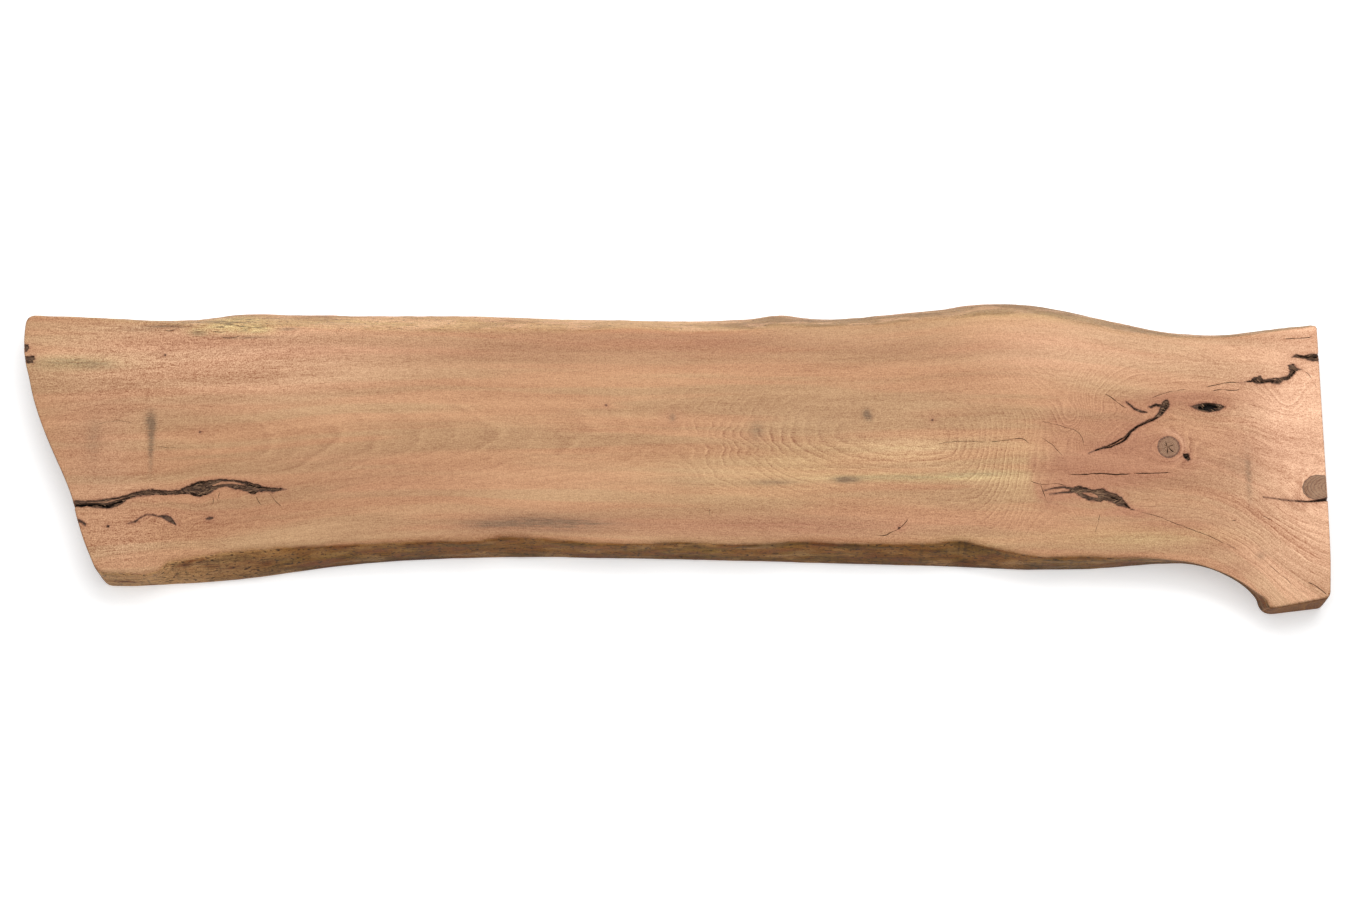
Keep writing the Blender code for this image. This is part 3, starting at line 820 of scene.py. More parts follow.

# %% [markdown]
# ## Stains and colour zones
# The wood isn't one brown. It blushes pink round the bark and in the fork, turns yellow where sapwood shows,
# and has grey-brown and yellow stains from fungus and wet battens. These follow no rule, so each is a soft
# patch, listed by its centre, size and strength. The material breaks up their edges with grain. The underside
# is taken as planed clean, so the stains fade out on the way down the sides.

# %% Colour zones
STAINS_FROM = 1.0
STAINS_FULL = 30.0
BLUSH_PATCHES = (
    (700, -70, 22, 40, 1.0), (722, -62, 40, 44, 0.9), (790, -52, 90, 30, 0.9), (850, 14, 90, 30, 0.6),
    (930, 96, 60, 14, 0.8), (1000, 96, 60, 22, 0.7), (760, 70, 60, 40, 0.4), (850, 62, 60, 26, 0.5),
    (1060, 92, 130, 24, 0.6), (1120, 10, 150, 50, 0.4), (960, -40, 160, 44, 0.6), (860, -124, 70, 11, 0.9),
    (940, -150, 70, 14, 0.8), (1005, -185, 60, 16, 0.8), (1050, -230, 40, 18, 0.6), (720, 40, 40, 50, 0.4),
    (-860, 205, 190, 20, 0.55), (-560, 190, 260, 16, 0.35), (-900, 75, 200, 22, 0.25),
    (-860, -122, 150, 24, 0.4), (-560, -70, 190, 34, 0.4), (-640, -20, 160, 24, 0.35),
    (0, 214, 260, 12, 0.3), (-1060, 60, 70, 80, 0.25), (3, 59, 26, 22, 0.5), (640, -175, 80, 30, 0.25),
    (300, -150, 240, 18, 0.25), (-200, 170, 300, 22, 0.25), (1000, -130, 150, 30, 0.25),
    (560, 190, 160, 30, 0.3), (40, 200, 520, 30, 0.5), (120, -148, 560, 30, 0.8), (-40, -60, 330, 30, 0.3),
    (850, -20, 90, 60, 0.8), (676, -28, 9, 14, 1.4), (684, -56, 9, 18, 1.6), (697, -84, 12, 14, 1.2),
    (745, -60, 40, 60, 0.5), (-1090, 20, 60, 60, 0.35),
)
SAP_PATCHES = (
    (-835, 244, 42, 16, 2.2), (-780, 232, 34, 10, 1.4), (-800, 260, 50, 8, 1.2), (-890, 228, 20, 8, 1.0),
    (436, -8, 110, 26, 0.5), (640, 262, 200, 14, 0.4), (-1120, 164, 84, 12, 0.9), (250, -30, 90, 50, 0.3),
    (860, -170, 160, 18, 0.6), (560, -180, 120, 18, 0.3), (-640, 250, 260, 9, 0.4), (430, -56, 110, 8, 0.9),
    (560, -52, 80, 8, 0.8), (640, -40, 60, 60, 0.25), (100, -60, 200, 60, 0.25),
)
SMOKE_PATCHES = (
    (-972, 52, 10, 18, 1.5), (-968, 34, 6, 20, 1.3), (-968, 4, 5, 20, 1.1), (-967, -30, 3.4, 20, 0.9),
    (-1076, 20, 14, 40, 0.45), (-1126, 164, 76, 11, 0.95), (-1076, 160, 30, 7, 0.5), (366, 66, 7, 10, 1.7),
    (372, 58, 5, 6, 0.8), (-190, -147, 110, 11, 1.0), (-260, -138, 110, 17, 0.6), (-340, -148, 60, 9, 0.5),
    (190, -66, 44, 5, 0.8), (326, -61, 26, 6, 1.4), (420, -57, 80, 4.5, 0.8), (545, -50, 90, 5, 0.8),
    (-945, 238, 40, 3, 1.6), (-1000, 232, 30, 2, 0.9), (-868, 252, 40, 2.5, 1.5), (-890, 224, 16, 4, 1.4),
    (-806, 215, 50, 2, 1.3), (-722, 232, 20, 2.4, 1.2), (-760, 262, 60, 2, 0.9), (160, 34, 12, 20, 0.6),
    (212, 262, 60, 8, 0.8), (1073, -56, 5, 46, 0.75), (705, 268, 90, 6, 0.6), (480, 266, 70, 5, 0.7),
    (1088, -205, 9, 7, 0.8), (-640, 246, 120, 3, 0.5), (840, 244, 60, 4, 0.7), (3, 59, 5, 8, 0.9),
    (-1060, -60, 60, 40, 0.2), (230, 40, 160, 50, 0.18), (520, 90, 160, 40, 0.18), (30, -60, 60, 30, 0.2),
    (1060, -30, 30, 30, 0.3),
)
# Pale patches of the top. Some are paler wood; the large ones at the square end are painted light that
# brightens that end.
PALE_AND_PAINTED_LIGHT_PATCHES = (
    (1262, 40, 150, 190, 1.3), (1262, -60, 260, 330, 0.5), (900, 180, 200, 60, 0.3),
    (-830, 185, 340, 80, 0.5), (-1060, -40, 90, 160, 0.25), (1160, -230, 120, 90, 0.25),
    (986, -26, 26, 6, 0.4), (436, -8, 90, 26, 0.3), (700, 200, 120, 60, 0.3), (-800, 150, 260, 60, 0.15),
    (-1010, -190, 60, 50, 0.2), (862, 26, 22, 10, 0.35), (1140, 86, 50, 40, 0.25), (1185, 15, 60, 36, 0.6),
    (1212, 245, 70, 30, 0.6),
)
COARSE_PATCHES = (
    (-960, 190, 340, 90, 1.0), (-1000, -170, 160, 70, 0.9), (-1050, 20, 120, 150, 0.4),
    (1100, 0, 200, 300, 0.5), (-500, 250, 400, 30, 0.5), (450, 0, 200, 100, 0.4), (430, -150, 300, 40, 0.3),
)
FIGURE_PATCHES = (
    (90, 10, 100, 80, 0.9), (215, -5, 80, 75, 1.0), (436, -8, 190, 55, 0.85), (620, -60, 95, 105, 1.1),
    (1145, 90, 60, 46, 0.9), (1120, -190, 120, 110, 1.2), (935, 2, 60, 50, 1.1), (-620, 0, 230, 60, 0.6),
    (-240, 10, 200, 90, 0.35), (700, 150, 200, 70, 0.3), (-900, -120, 130, 40, 0.5),
    (1200, -75, 70, 50, 0.6), (770, 45, 80, 60, 1.1), (900, 130, 160, 60, 0.5), (900, -110, 200, 50, 0.5),
    (1080, 20, 120, 60, 0.5),
)


def patches(x, y, spots):
    """The sum of soft patches, each with a centre, a size along and across, and a strength."""
    total = np.zeros(x.shape)
    for cx, cy, along, wide, strength in spots:
        total += strength * np.exp(-(((x - cx) / along) ** 2) - ((y - cy) / wide) ** 2)
    return total


x, y, z = points.T
across = grain_across(x, y)
gap, _ = hollow_distance(x, y)
gap = np.where(z < THICKNESS / 2, FAR, gap)
groove = np.concatenate((top_groove, np.zeros(len(points) - len(top_groove))))
on_top = np.zeros(len(points), bool)
on_top[: len(top_places)] = True
sunk = np.where(on_top, THICKNESS - z, 0.0)
island = np.zeros(len(points))
island[: len(top_places)] = top_island
stained = smoothstep(STAINS_FROM, STAINS_FULL, z)
blush = patches(x, y, BLUSH_PATCHES) + 0.7 * np.exp(-np.clip(gap, 0, FAR) / 7)
blush = blush * (0.4 + 0.6 * stained)
sap = patches(x, y, SAP_PATCHES) * stained
smoke = patches(x, y, SMOKE_PATCHES) * stained
figure = (0.14 + patches(x, y, FIGURE_PATCHES)) * stained
round_gap = np.hypot(x - DEAD_KNOT[0], y - DEAD_KNOT[1]) - DEAD_KNOT[2]
right_of_knot = smoothstep(-14, 12, x - DEAD_KNOT[0] + 0.3 * (y - DEAD_KNOT[1]))
crescent = np.exp(-(((round_gap - 8.5) / 4.5) ** 2)) * right_of_knot
pale_and_painted_light = patches(x, y, PALE_AND_PAINTED_LIGHT_PATCHES) + 0.75 * crescent
coarse = patches(x, y, COARSE_PATCHES)
print("blush", np.round(blush.max(), 2), "sap", np.round(sap.max(), 2), "smoke", np.round(smoke.max(), 2))

# %% [markdown]
# ## Sides: live edge and end grain
# The live edges keep the brown skin that lay under the bark, and the saw cuts show end grain. Every column
# of side points knows which side it belongs to. A corner's first half goes with the side before it.

# %% Live edge and end grain
END_SHADE_DEPTH = 0.4 * LIVE_ROUNDING

half_corner = CORNER_POINTS // 2
column_side = []
for number, count in enumerate(SIDE_POINTS):
    next_side = (number + 1) % len(SIDES)
    column_side += [number] * (count + half_corner) + [next_side] * (CORNER_POINTS - half_corner)
column_live = np.isin(column_side, LIVE_SIDES)
live = np.zeros(len(points))
end_grain = np.zeros(len(points))
for level, height in enumerate(LEVELS):
    skin = smoothstep(-1.0, LIVE_ROUNDING, THICKNESS - height) * smoothstep(0.0, 1.0, height)
    cut = smoothstep(0.0, END_SHADE_DEPTH, THICKNESS - height) * smoothstep(0.0, 1.0, height)
    live[ring_index[level]] = np.where(column_live, skin, 0.0)
    end_grain[ring_index[level]] = np.where(column_live, 0.0, cut)
rear = np.where(y > 0, 1.0, 0.0) * (live > 0)
figure = np.where(end_grain > 0, 1.2, figure)
knot = smoothstep(1.3, -1.3, knot_distance(x, y)) * on_top
bark = smoothstep(0.25, -0.5, gap) * on_top * (1 - 0.75 * island)
# Painted shade: the deeper a point lies in a hollow, the darker it is painted.
painted_depth_shade = np.clip(sunk / 10, 0, 1) * smoothstep(0.3, -0.3, gap) * on_top
print("live edge points:", int((live > 0).sum()), "end grain points:", int((end_grain > 0).sum()))

# %% [markdown]
# Everything the material needs goes into the mesh as attributes, numbers kept at each point. Three numbers
# share one attribute, as a vector, which keeps their list short. Shading is smooth except over edges sharper
# than 38 degrees, which keeps the arrises of the saw cuts and the rims crisp.

# %% Make the slab's mesh
SHARP_ANGLE = math.radians(38)


def store(mesh, name, *values):
    """Stores one number, or three as a vector, at each vertex."""
    kind = "FLOAT" if len(values) == 1 else "FLOAT_VECTOR"
    layer = mesh.attributes.new(name, kind, "POINT")
    flat = np.column_stack(values).astype(np.float32).ravel()
    layer.data.foreach_set("value" if kind == "FLOAT" else "vector", flat)


slab_mesh = bpy.data.meshes.new("slab")
slab_mesh.from_pydata((points * MM).tolist(), [], [tuple(int(i) for i in face) for face in faces])
slab_mesh.update()
store(slab_mesh, "grain", x, across, z)
store(slab_mesh, "ring", ring_number(x, y, z, across))
store(slab_mesh, "tint", sap, blush, smoke)
store(slab_mesh, "hollow", gap, painted_depth_shade, bark)
store(slab_mesh, "kind", live, end_grain, knot)
store(slab_mesh, "figure", figure, groove, rear)
store(slab_mesh, "light", pale_and_painted_light, coarse, island * smoothstep(0.25, -0.5, gap))
slab_mesh.shade_smooth()
slab_mesh.set_sharp_from_angle(angle=SHARP_ANGLE)
slab = bpy.data.objects.new("live_edge_slab", slab_mesh)
bpy.context.scene.collection.objects.link(slab)
print("slab faces:", len(slab_mesh.polygons))

# %% [markdown]
# ## Shader maths as sums
# A wood shader is mostly arithmetic on noise. Wiring Math nodes by hand hides the thought, so one small
# class wraps a socket and lets Python's own + - * / add the nodes. Any other kind of node comes from one
# method, which takes its type, its settings and its inputs.

# %% A socket that can be added and multiplied


class Wire:
    """An output socket of a node tree, with operators that add Math nodes."""

    def __init__(self, tree, socket=None):
        self.tree = tree
        self.socket = socket

    def node(self, kind, settings=None, inputs=None, output=0):
        """A new node: its settings first, then its inputs by name or number, as values or wires."""
        made = self.tree.nodes.new(kind)
        for name, value in (settings or {}).items():
            setattr(made, name, value)
        for name, value in (inputs or {}).items():
            if isinstance(value, Wire):
                self.tree.links.new(value.socket, made.inputs[name])
            else:
                made.inputs[name].default_value = value
        return Wire(self.tree, made.outputs[output])

    def maths(self, operation, *others, clamp=False):
        """A Math node with this wire as its first input."""
        settings = {"operation": operation, "use_clamp": clamp}
        return self.node("ShaderNodeMath", settings, dict(enumerate((self, *others))))

    def __add__(self, other):
        return self.maths("ADD", other)

    def __sub__(self, other):
        return self.maths("SUBTRACT", other)

    def __rsub__(self, other):
        return self * -1.0 + other

    def __mul__(self, other):
        return self.maths("MULTIPLY", other)

    __radd__ = __add__
    __rmul__ = __mul__

    def clamped(self):
        """The same number, kept between 0 and 1."""
        return self.maths("ADD", 0.0, clamp=True)

    def step(self, low, high):
        """0 below low, 1 above high and smooth between; turned round if low is the larger."""
        settings = {"interpolation_type": "SMOOTHSTEP"}
        ends = {"Value": self, "From Min": min(low, high), "From Max": max(low, high)}
        rising = self.node("ShaderNodeMapRange", settings, ends)
        return rising if low < high else 1 - rising


def linear(red, green, blue):
    """A colour given as on a screen, 0 to 255, in the linear values that a shader needs."""
    screen = [value / 255 for value in (red, green, blue)]
    return tuple(v / 12.92 if v <= 0.04045 else ((v + 0.055) / 1.055) ** 2.4 for v in screen) + (1.0,)


def mixed(first, second, share, blend="MIX"):
    """Two colours mixed by a share from 0 to 1; either may be a wire or a plain colour."""
    wire = next(value for value in (share, first, second) if isinstance(value, Wire))
    settings = {"data_type": "RGBA", "blend_type": blend}
    return wire.node("ShaderNodeMix", settings, {0: share, 6: first, 7: second}, output=2)


def stretched_noise(wire, place, long, wide, detail=2.0, roughness=0.5, shift=0.0):
    """Noise along the grain, its lumps that many millimetres long and wide."""
    scale = (1 / long, 1 / wide, 1 / wide)
    stretching = {0: place, 1: scale, 2: (shift,) * 3}
    moved = wire.node("ShaderNodeVectorMath", {"operation": "MULTIPLY_ADD"}, stretching)
    inputs = {"Vector": moved, "Scale": 1.0, "Detail": detail, "Roughness": roughness}
    return wire.node("ShaderNodeTexNoise", {}, inputs)


print("mid brown in linear light:", [round(v, 3) for v in linear(197, 152, 115)])

# %% [markdown]
# ## The wood
# Sanded mango is pale brown with a pink cast. Close to, it is made of short dark dashes, the open pores of
# its vessels, over long soft streaks and hair-thin grain lines. Growth rings only show where the saw skims
# them. The material works them out in grain coordinates, mixes the colours of the top, the live edge, the
# end grain and the bark, and puts everything together at the end. Everything is read from the attributes
# stored above, so it follows the grain round every knot.

# %% Wood: reading the stored numbers
wood = bpy.data.materials.new("mango_wood")
wood.use_nodes = True
shader = wood.node_tree.nodes["Principled BSDF"]
tree = Wire(wood.node_tree)


def stored(name, output="Vector"):
    """The attribute of that name, read from the mesh."""
    return tree.node("ShaderNodeAttribute", {"attribute_name": name}, {}, output)


def axes(vector):
    """The three numbers of a vector."""
    return [tree.node("ShaderNodeSeparateXYZ", {}, {0: vector}, axis) for axis in ("X", "Y", "Z")]


grain = stored("grain")
ring = stored("ring", "Fac")
is_sap, is_blush, is_smoke = axes(stored("tint"))
rim_gap, is_painted_depth_shade, is_bark = axes(stored("hollow"))
is_live, is_end, is_knot = axes(stored("kind"))
ring_strength, is_groove, is_rear = axes(stored("figure"))
is_pale_and_painted_light, is_coarse, is_island = axes(stored("light"))
grain_along, _, height = axes(grain)
place = tree.node("ShaderNodeTexCoord", {}, {}, "Object")
print("nodes so far:", len(wood.node_tree.nodes))

# %% [markdown]
# Each layer is noise stretched along the grain: half a metre for the broadest streaks, under a centimetre
# for the shortest dashes. They are added up as marks, where more means darker, and darken the colour at the
# end. Numbers in millimetres say how long and how wide the lumps of each noise are.

# %% Wood: streaks and dashes
wide_streak = stretched_noise(tree, grain, 520, 70, detail=2, shift=7)
soft_streak = stretched_noise(tree, grain, 300, 15, detail=3)
thin_streak = stretched_noise(tree, grain, 110, 5, detail=3, shift=13)
hue_streak = stretched_noise(tree, grain, 420, 26, detail=1, shift=17)
dash_noise = stretched_noise(tree, grain, 22, 2.0, detail=2, shift=3)
short_dash_noise = stretched_noise(tree, grain, 8, 2.0, detail=2, shift=5)
mottle = stretched_noise(tree, grain, 10, 26, detail=2, shift=9)
fuzz = tree.node("ShaderNodeTexNoise", {}, {"Vector": place, "Scale": 420.0, "Detail": 2.0, "Roughness": 0.6})

dashes = dash_noise.step(0.54, 0.68)
short_dashes = short_dash_noise.step(0.56, 0.74)
coarseness = is_coarse * 0.75 + 0.75
fine_marks = dashes * 0.32 + (0.5 - dash_noise) * 1.0 + short_dashes * 0.24 + (0.5 - short_dash_noise) * 0.8
fine_marks = (fine_marks + (0.5 - fuzz) * 1.6) * coarseness
broad_marks = (0.5 - wide_streak) * 0.8 + (0.5 - soft_streak) * 0.34
broad_marks = broad_marks + (0.5 - thin_streak) * (is_coarse * 0.2 + 0.2)
broad_marks = broad_marks + (0.5 - mottle) * (0.05 + is_coarse * 0.12)
print("nodes so far:", len(wood.node_tree.nodes))

# %% [markdown]
# Between the dashes run long hair-thin lines that bend round every knot. They are contours: wherever a
# stretched noise passes one chosen value the wood is darker, and just beside it a little paler. Contours
# never cross and never stop dead, which is how grain lines behave.

# %% Wood: long thin lines


def contour(noise_wire, value, half_width):
    """1 where the noise has that value, falling to 0 half a width away."""
    return (noise_wire - value).maths("ABSOLUTE").step(half_width, 0.0)


line_noise = stretched_noise(tree, grain, 170, 9, detail=2, shift=19)
fine_line_noise = stretched_noise(tree, grain, 90, 6, detail=2, shift=27)
line_patchy = stretched_noise(tree, grain, 130, 40, detail=2, shift=29).step(0.38, 0.62)
dark_lines = contour(line_noise, 0.5, 0.045) * 0.22 + contour(line_noise, 0.6, 0.04) * 0.16
dark_lines = dark_lines + contour(fine_line_noise, 0.46, 0.05) * 0.14
pale_lines = contour(line_noise, 0.55, 0.045) * 0.10 + contour(fine_line_noise, 0.56, 0.05) * 0.10
line_marks = (dark_lines - pale_lines) * (line_patchy * 0.7 + 0.3) * (is_coarse * 0.6 + 0.4)
print("nodes so far:", len(wood.node_tree.nodes))

# %% [markdown]
# A ring has a soft pale side and a thin dark one, and no two rings are alike. The whole part of the ring
# number picks a random strength for each ring, the fraction says how far through the ring a point lies.

# %% Wood: growth rings
ring_wobble = stretched_noise(tree, grain, 60, 12, detail=2, shift=21)
ring_number_here = ring + (ring_wobble - 0.5) * 0.6
ring_part = ring_number_here.maths("FRACT")
whole_ring = ring_number_here.maths("FLOOR")
ring_luck = tree.node("ShaderNodeTexWhiteNoise", {"noise_dimensions": "1D"}, {"W": whole_ring}, "Value")
ring_patchy = stretched_noise(tree, grain, 70, 40, detail=2, shift=23).step(0.36, 0.6)
late_wood = ring_part.step(0.58, 0.88) * ring_part.step(1.0, 0.92) * (ring_luck * 0.7 + 0.3)
early_wood = ring_part.step(0.0, 0.07) * ring_part.step(0.40, 0.12) * (1.2 - ring_luck * 0.7)
ring_marks = (late_wood * 0.26 - early_wood * 0.20) * ring_strength * (ring_patchy * 0.6 + 0.4)
print("nodes so far:", len(wood.node_tree.nodes))

# %% [markdown]
# The sanded top starts as two tans that drift into each other along the grain. The listed zones then
# tint it, each broken up by the streaks, because a stain soaks further along open grain than across it.

# %% Wood: colour of the sanded top
TAN = linear(191, 148, 107)
TAN_WARM = linear(197, 145, 105)
PINK = linear(181, 124, 92)
PALE_PINK = linear(248, 195, 158)
YELLOW = linear(228, 200, 140)
GREY_BROWN = linear(123, 96, 71)

colour = mixed(TAN, TAN_WARM, hue_streak.step(0.4, 0.62))
# Painted light in part: the pale patches also brighten the square end.
colour = mixed(colour, PALE_PINK, (is_pale_and_painted_light * (0.6 + soft_streak * 0.5)).clamped())
colour = mixed(colour, PINK, (is_blush * (0.3 + thin_streak * 1.0)).clamped() * 0.9)
colour = mixed(colour, YELLOW, (is_sap * (0.1 + thin_streak + short_dash_noise * 0.3)).clamped() * 0.75)
smoke_share = (is_smoke * ((thin_streak - 0.3) * 1.6 + (dash_noise - 0.5) * 1.6 + 0.4)).clamped()
colour = mixed(colour, GREY_BROWN, smoke_share * 0.85)
print("nodes so far:", len(wood.node_tree.nodes))

# %% [markdown]
# The live edge is older, rougher wood than the sanded top: brown, with dark dashes and patches where bark
# clung. End grain drinks light, so it's darker too, and its pores are dots. The bark in the pockets is
# grey-brown and fibrous, and the deep slits and holes are painted nearly black, as painted shade.

# %% Wood: live edge
LIVE_BROWN = linear(145, 93, 30)
LIVE_PALE = linear(203, 154, 98)
LIVE_OLIVE = linear(136, 97, 30)
LIVE_RED = linear(137, 75, 30)
LIVE_DARK = linear(55, 33, 10)
REAR_SAP = linear(201, 159, 114)
REAR_GREY = linear(158, 123, 85)

live_patch = stretched_noise(tree, grain, 100, 22, detail=3, shift=31)
live_patch_red = stretched_noise(tree, grain, 70, 20, detail=3, shift=35)
live_runs = stretched_noise(tree, grain, 9, 300, detail=2, shift=45)
live_fibre = stretched_noise(tree, grain, 30, 3.2, detail=3, roughness=0.6, shift=33)
live_dots = stretched_noise(tree, grain, 8, 3.6, detail=1, shift=37)
live_colour = mixed(LIVE_BROWN, LIVE_OLIVE, live_patch.step(0.44, 0.62) * 0.8)
# Partly the wood's own red patches, partly painted shadow: a red band just under the top edge.
red_and_edge_shadow_share = live_patch_red.step(0.5, 0.68) * 0.7 + height.step(58, 72) * 0.3
live_colour = mixed(live_colour, LIVE_RED, red_and_edge_shadow_share.clamped())
pale_end = grain_along.step(-640, -920)
live_colour = mixed(live_colour, LIVE_PALE, pale_end * live_patch_red.step(0.72, 0.54))
# Painted shade: the front live edge is painted darker towards the underside.
painted_shade_low = height.step(56, 2) * (1 - pale_end * 0.6)
live_colour = mixed(live_colour, LIVE_DARK, painted_shade_low * (0.1 + live_patch * 0.75))
live_colour = mixed(live_colour, LIVE_DARK, live_runs.step(0.54, 0.72) * live_patch.step(0.4, 0.6) * 0.45)
live_colour = mixed(live_colour, LIVE_DARK, live_fibre.step(0.46, 0.66) * 0.5)
live_colour = mixed(live_colour, LIVE_PALE, live_patch_red.step(0.5, 0.34) * 0.3)
live_colour = mixed(live_colour, LIVE_DARK, live_patch.step(0.5, 0.7) * height.step(40, 64) * 0.6)
live_colour = mixed(live_colour, LIVE_DARK, live_dots.step(0.6, 0.68) * 0.85)

grey_share = grain_along.step(-60, 260) * 0.75 + live_patch.step(0.46, 0.6) * 0.4
rear_colour = mixed(REAR_SAP, REAR_GREY, grey_share)
rear_colour = mixed(rear_colour, PALE_PINK, live_patch_red.step(0.52, 0.4) * 0.3)
rear_colour = mixed(rear_colour, YELLOW, (is_sap * (0.1 + thin_streak)).clamped() * 0.7)
stroke_share = live_fibre.step(0.54, 0.72) * 0.4 + smoke_share * 0.6
rear_colour = mixed(rear_colour, GREY_BROWN, stroke_share.clamped())
rear_colour = mixed(rear_colour, LIVE_DARK, live_dots.step(0.64, 0.72) * 0.6)
live_colour = mixed(live_colour, rear_colour, is_rear)
live_edge_noise = stretched_noise(tree, grain, 30, 8, detail=3, shift=39)
live_share = (is_live + (live_edge_noise - 0.5) * 0.7 * is_live.step(0.0, 0.3)).step(0.04, 0.85)
print("nodes so far:", len(wood.node_tree.nodes))

# %% Wood: end grain, knots and bark
END_BROWN = linear(133, 83, 28)
END_DARK = linear(111, 66, 23)
KNOT_BROWN = linear(149, 112, 84)
BARK_LIGHT = linear(141, 111, 86)
BARK_MID = linear(105, 78, 60)
BARK_DARK = linear(56, 40, 32)
# Painted shade: the near black painted into deep slits, holes and checks.
PAINTED_DEEP_SHADE = linear(24, 16, 12)
RIM_RED = linear(118, 74, 54)

end_pores = tree.node("ShaderNodeTexNoise", {}, {"Vector": place, "Scale": 900.0, "Detail": 1.0})
end_rays = tree.node("ShaderNodeTexNoise", {}, {"Vector": place, "Scale": 90.0, "Detail": 3.0})
end_colour = mixed(END_BROWN, END_DARK, end_rays.step(0.3, 0.7))
end_colour = mixed(end_colour, LIVE_DARK, end_pores.step(0.6, 0.75) * 0.4)

bark_fibre = stretched_noise(tree, grain, 16, 2.6, detail=4, roughness=0.65, shift=41)
bark_lump = stretched_noise(tree, grain, 22, 6, detail=3, shift=43)
bark_colour = mixed(BARK_MID, BARK_LIGHT, bark_lump.step(0.46, 0.62) * 0.8)
bark_colour = mixed(bark_colour, BARK_DARK, bark_fibre.step(0.46, 0.62) * 0.85)
bark_colour = mixed(bark_colour, BARK_DARK, rim_gap.step(-2.6, -0.6) * 0.85)
# Painted shade: bark turns near black where the hollow is deep.
bark_colour = mixed(bark_colour, PAINTED_DEEP_SHADE, is_painted_depth_shade.step(0.35, 0.85))

knot_colour = mixed(KNOT_BROWN, BARK_DARK, late_wood * 0.5 + fuzz.step(0.5, 0.75) * 0.35)
edge_noise = stretched_noise(tree, grain, 6, 2.0, detail=2, shift=51)
rim_line = (rim_gap + edge_noise * 5.0).step(5.4, 1.6)
island_rim = is_island.step(0.1, 0.45) * is_island.step(0.95, 0.6)
knot_rim = is_knot.step(0.0, 0.5) * is_knot.step(1.0, 0.6)
print("nodes so far:", len(wood.node_tree.nodes))

# %% [markdown]
# Last comes the order of the layers, as a painter would lay them: knots and their rims, the reddish rims of
# the pockets, the live edge, strokes of bark on the yellow sapwood and the end grain, then the marks of the
# grain over all of it. The marks darken blue more than red, as brown stain does. Bark and checks lie on top,
# because they hide the grain.

# %% Wood: put the layers together
MARK_RED = 0.74
MARK_BLUE = 1.14

colour = mixed(colour, knot_colour, is_knot * 0.9)
colour = mixed(colour, BARK_DARK, knot_rim * 0.8)
colour = mixed(colour, RIM_RED, rim_line * (1 - is_island) * 0.75)
colour = mixed(colour, live_colour, live_share)
sap_strokes = live_fibre.step(0.5, 0.6) * (is_sap - 0.7).clamped()
colour = mixed(colour, BARK_DARK, sap_strokes * 0.7)
colour = mixed(colour, end_colour, is_end)
marks = fine_marks + broad_marks + line_marks * (1 - is_knot) + ring_marks
shade_inputs = {0: 1 - marks * MARK_RED, 1: 1 - marks, 2: 1 - marks * MARK_BLUE}
colour = mixed(colour, tree.node("ShaderNodeCombineXYZ", {}, shade_inputs), 1.0, "MULTIPLY")
colour = mixed(colour, bark_colour, is_bark)
colour = mixed(colour, BARK_DARK, island_rim * 0.7)
# Painted shade: each check is painted near black along its opening.
colour = mixed(colour, PAINTED_DEEP_SHADE, is_groove.step(0.04, 0.55) * 0.95)
wood.node_tree.links.new(colour.socket, shader.inputs["Base Color"])
print("nodes so far:", len(wood.node_tree.nodes))

# %% [markdown]
# Sanded, unvarnished wood has a dull sheen, a little brighter on dense rings and gone in bark. The relief is
# tiny: pores a fraction of a millimetre deep on the top, more on the live edge and most on bark.

# %% Wood: roughness and relief
RELIEF_STRENGTH = 0.45
RELIEF_DEPTH = 0.0006

roughness = 0.56 + dashes * 0.08 - late_wood * ring_strength * 0.04
roughness = roughness + is_bark * 0.3 + is_live * 0.12 + is_end * 0.2
wood.node_tree.links.new(roughness.clamped().socket, shader.inputs["Roughness"])
top_relief = 1 - dashes * 0.5 - short_dashes * 0.35 + fuzz * 0.25 + late_wood * ring_strength * 0.05
rough_relief = (live_fibre * 2.0 + live_patch * 6.0) * is_live + bark_fibre * 5.0 * is_bark
rough_relief = rough_relief + end_pores * 1.2 * is_end
bump_inputs = {"Strength": RELIEF_STRENGTH, "Distance": RELIEF_DEPTH, "Height": top_relief + rough_relief}
relief = tree.node("ShaderNodeBump", {}, bump_inputs)
wood.node_tree.links.new(relief.socket, shader.inputs["Normal"])
shader.inputs["Specular IOR Level"].default_value = 0.35
slab_mesh.materials.append(wood)
print("nodes in the wood:", len(wood.node_tree.nodes))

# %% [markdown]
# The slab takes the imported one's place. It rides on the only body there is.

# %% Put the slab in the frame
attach(slab, "root")
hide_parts("tabletop_slab")
print("slab in place:", slab.name)

# %% [markdown]
# ## Bark fibres
# The floor of a pocket is torn bark: short stiff fibres that lie more or less along the grain. They repeat
# by the hundred, so Geometry Nodes lays them. The bed is a copy of the pocket floors, and it knows the angle
# of the grain. The node tree scatters points over it and puts a sliver on each, turned along the grain and a
# little askew. The bed stops short of the saw cuts, so that no fibre sticks out of them.

# %% Bed for the fibres
BED_BARK = 0.8
BED_DEPTH = 1.1
BED_DARKEST = 0.75
BED_MARGIN = 9.0

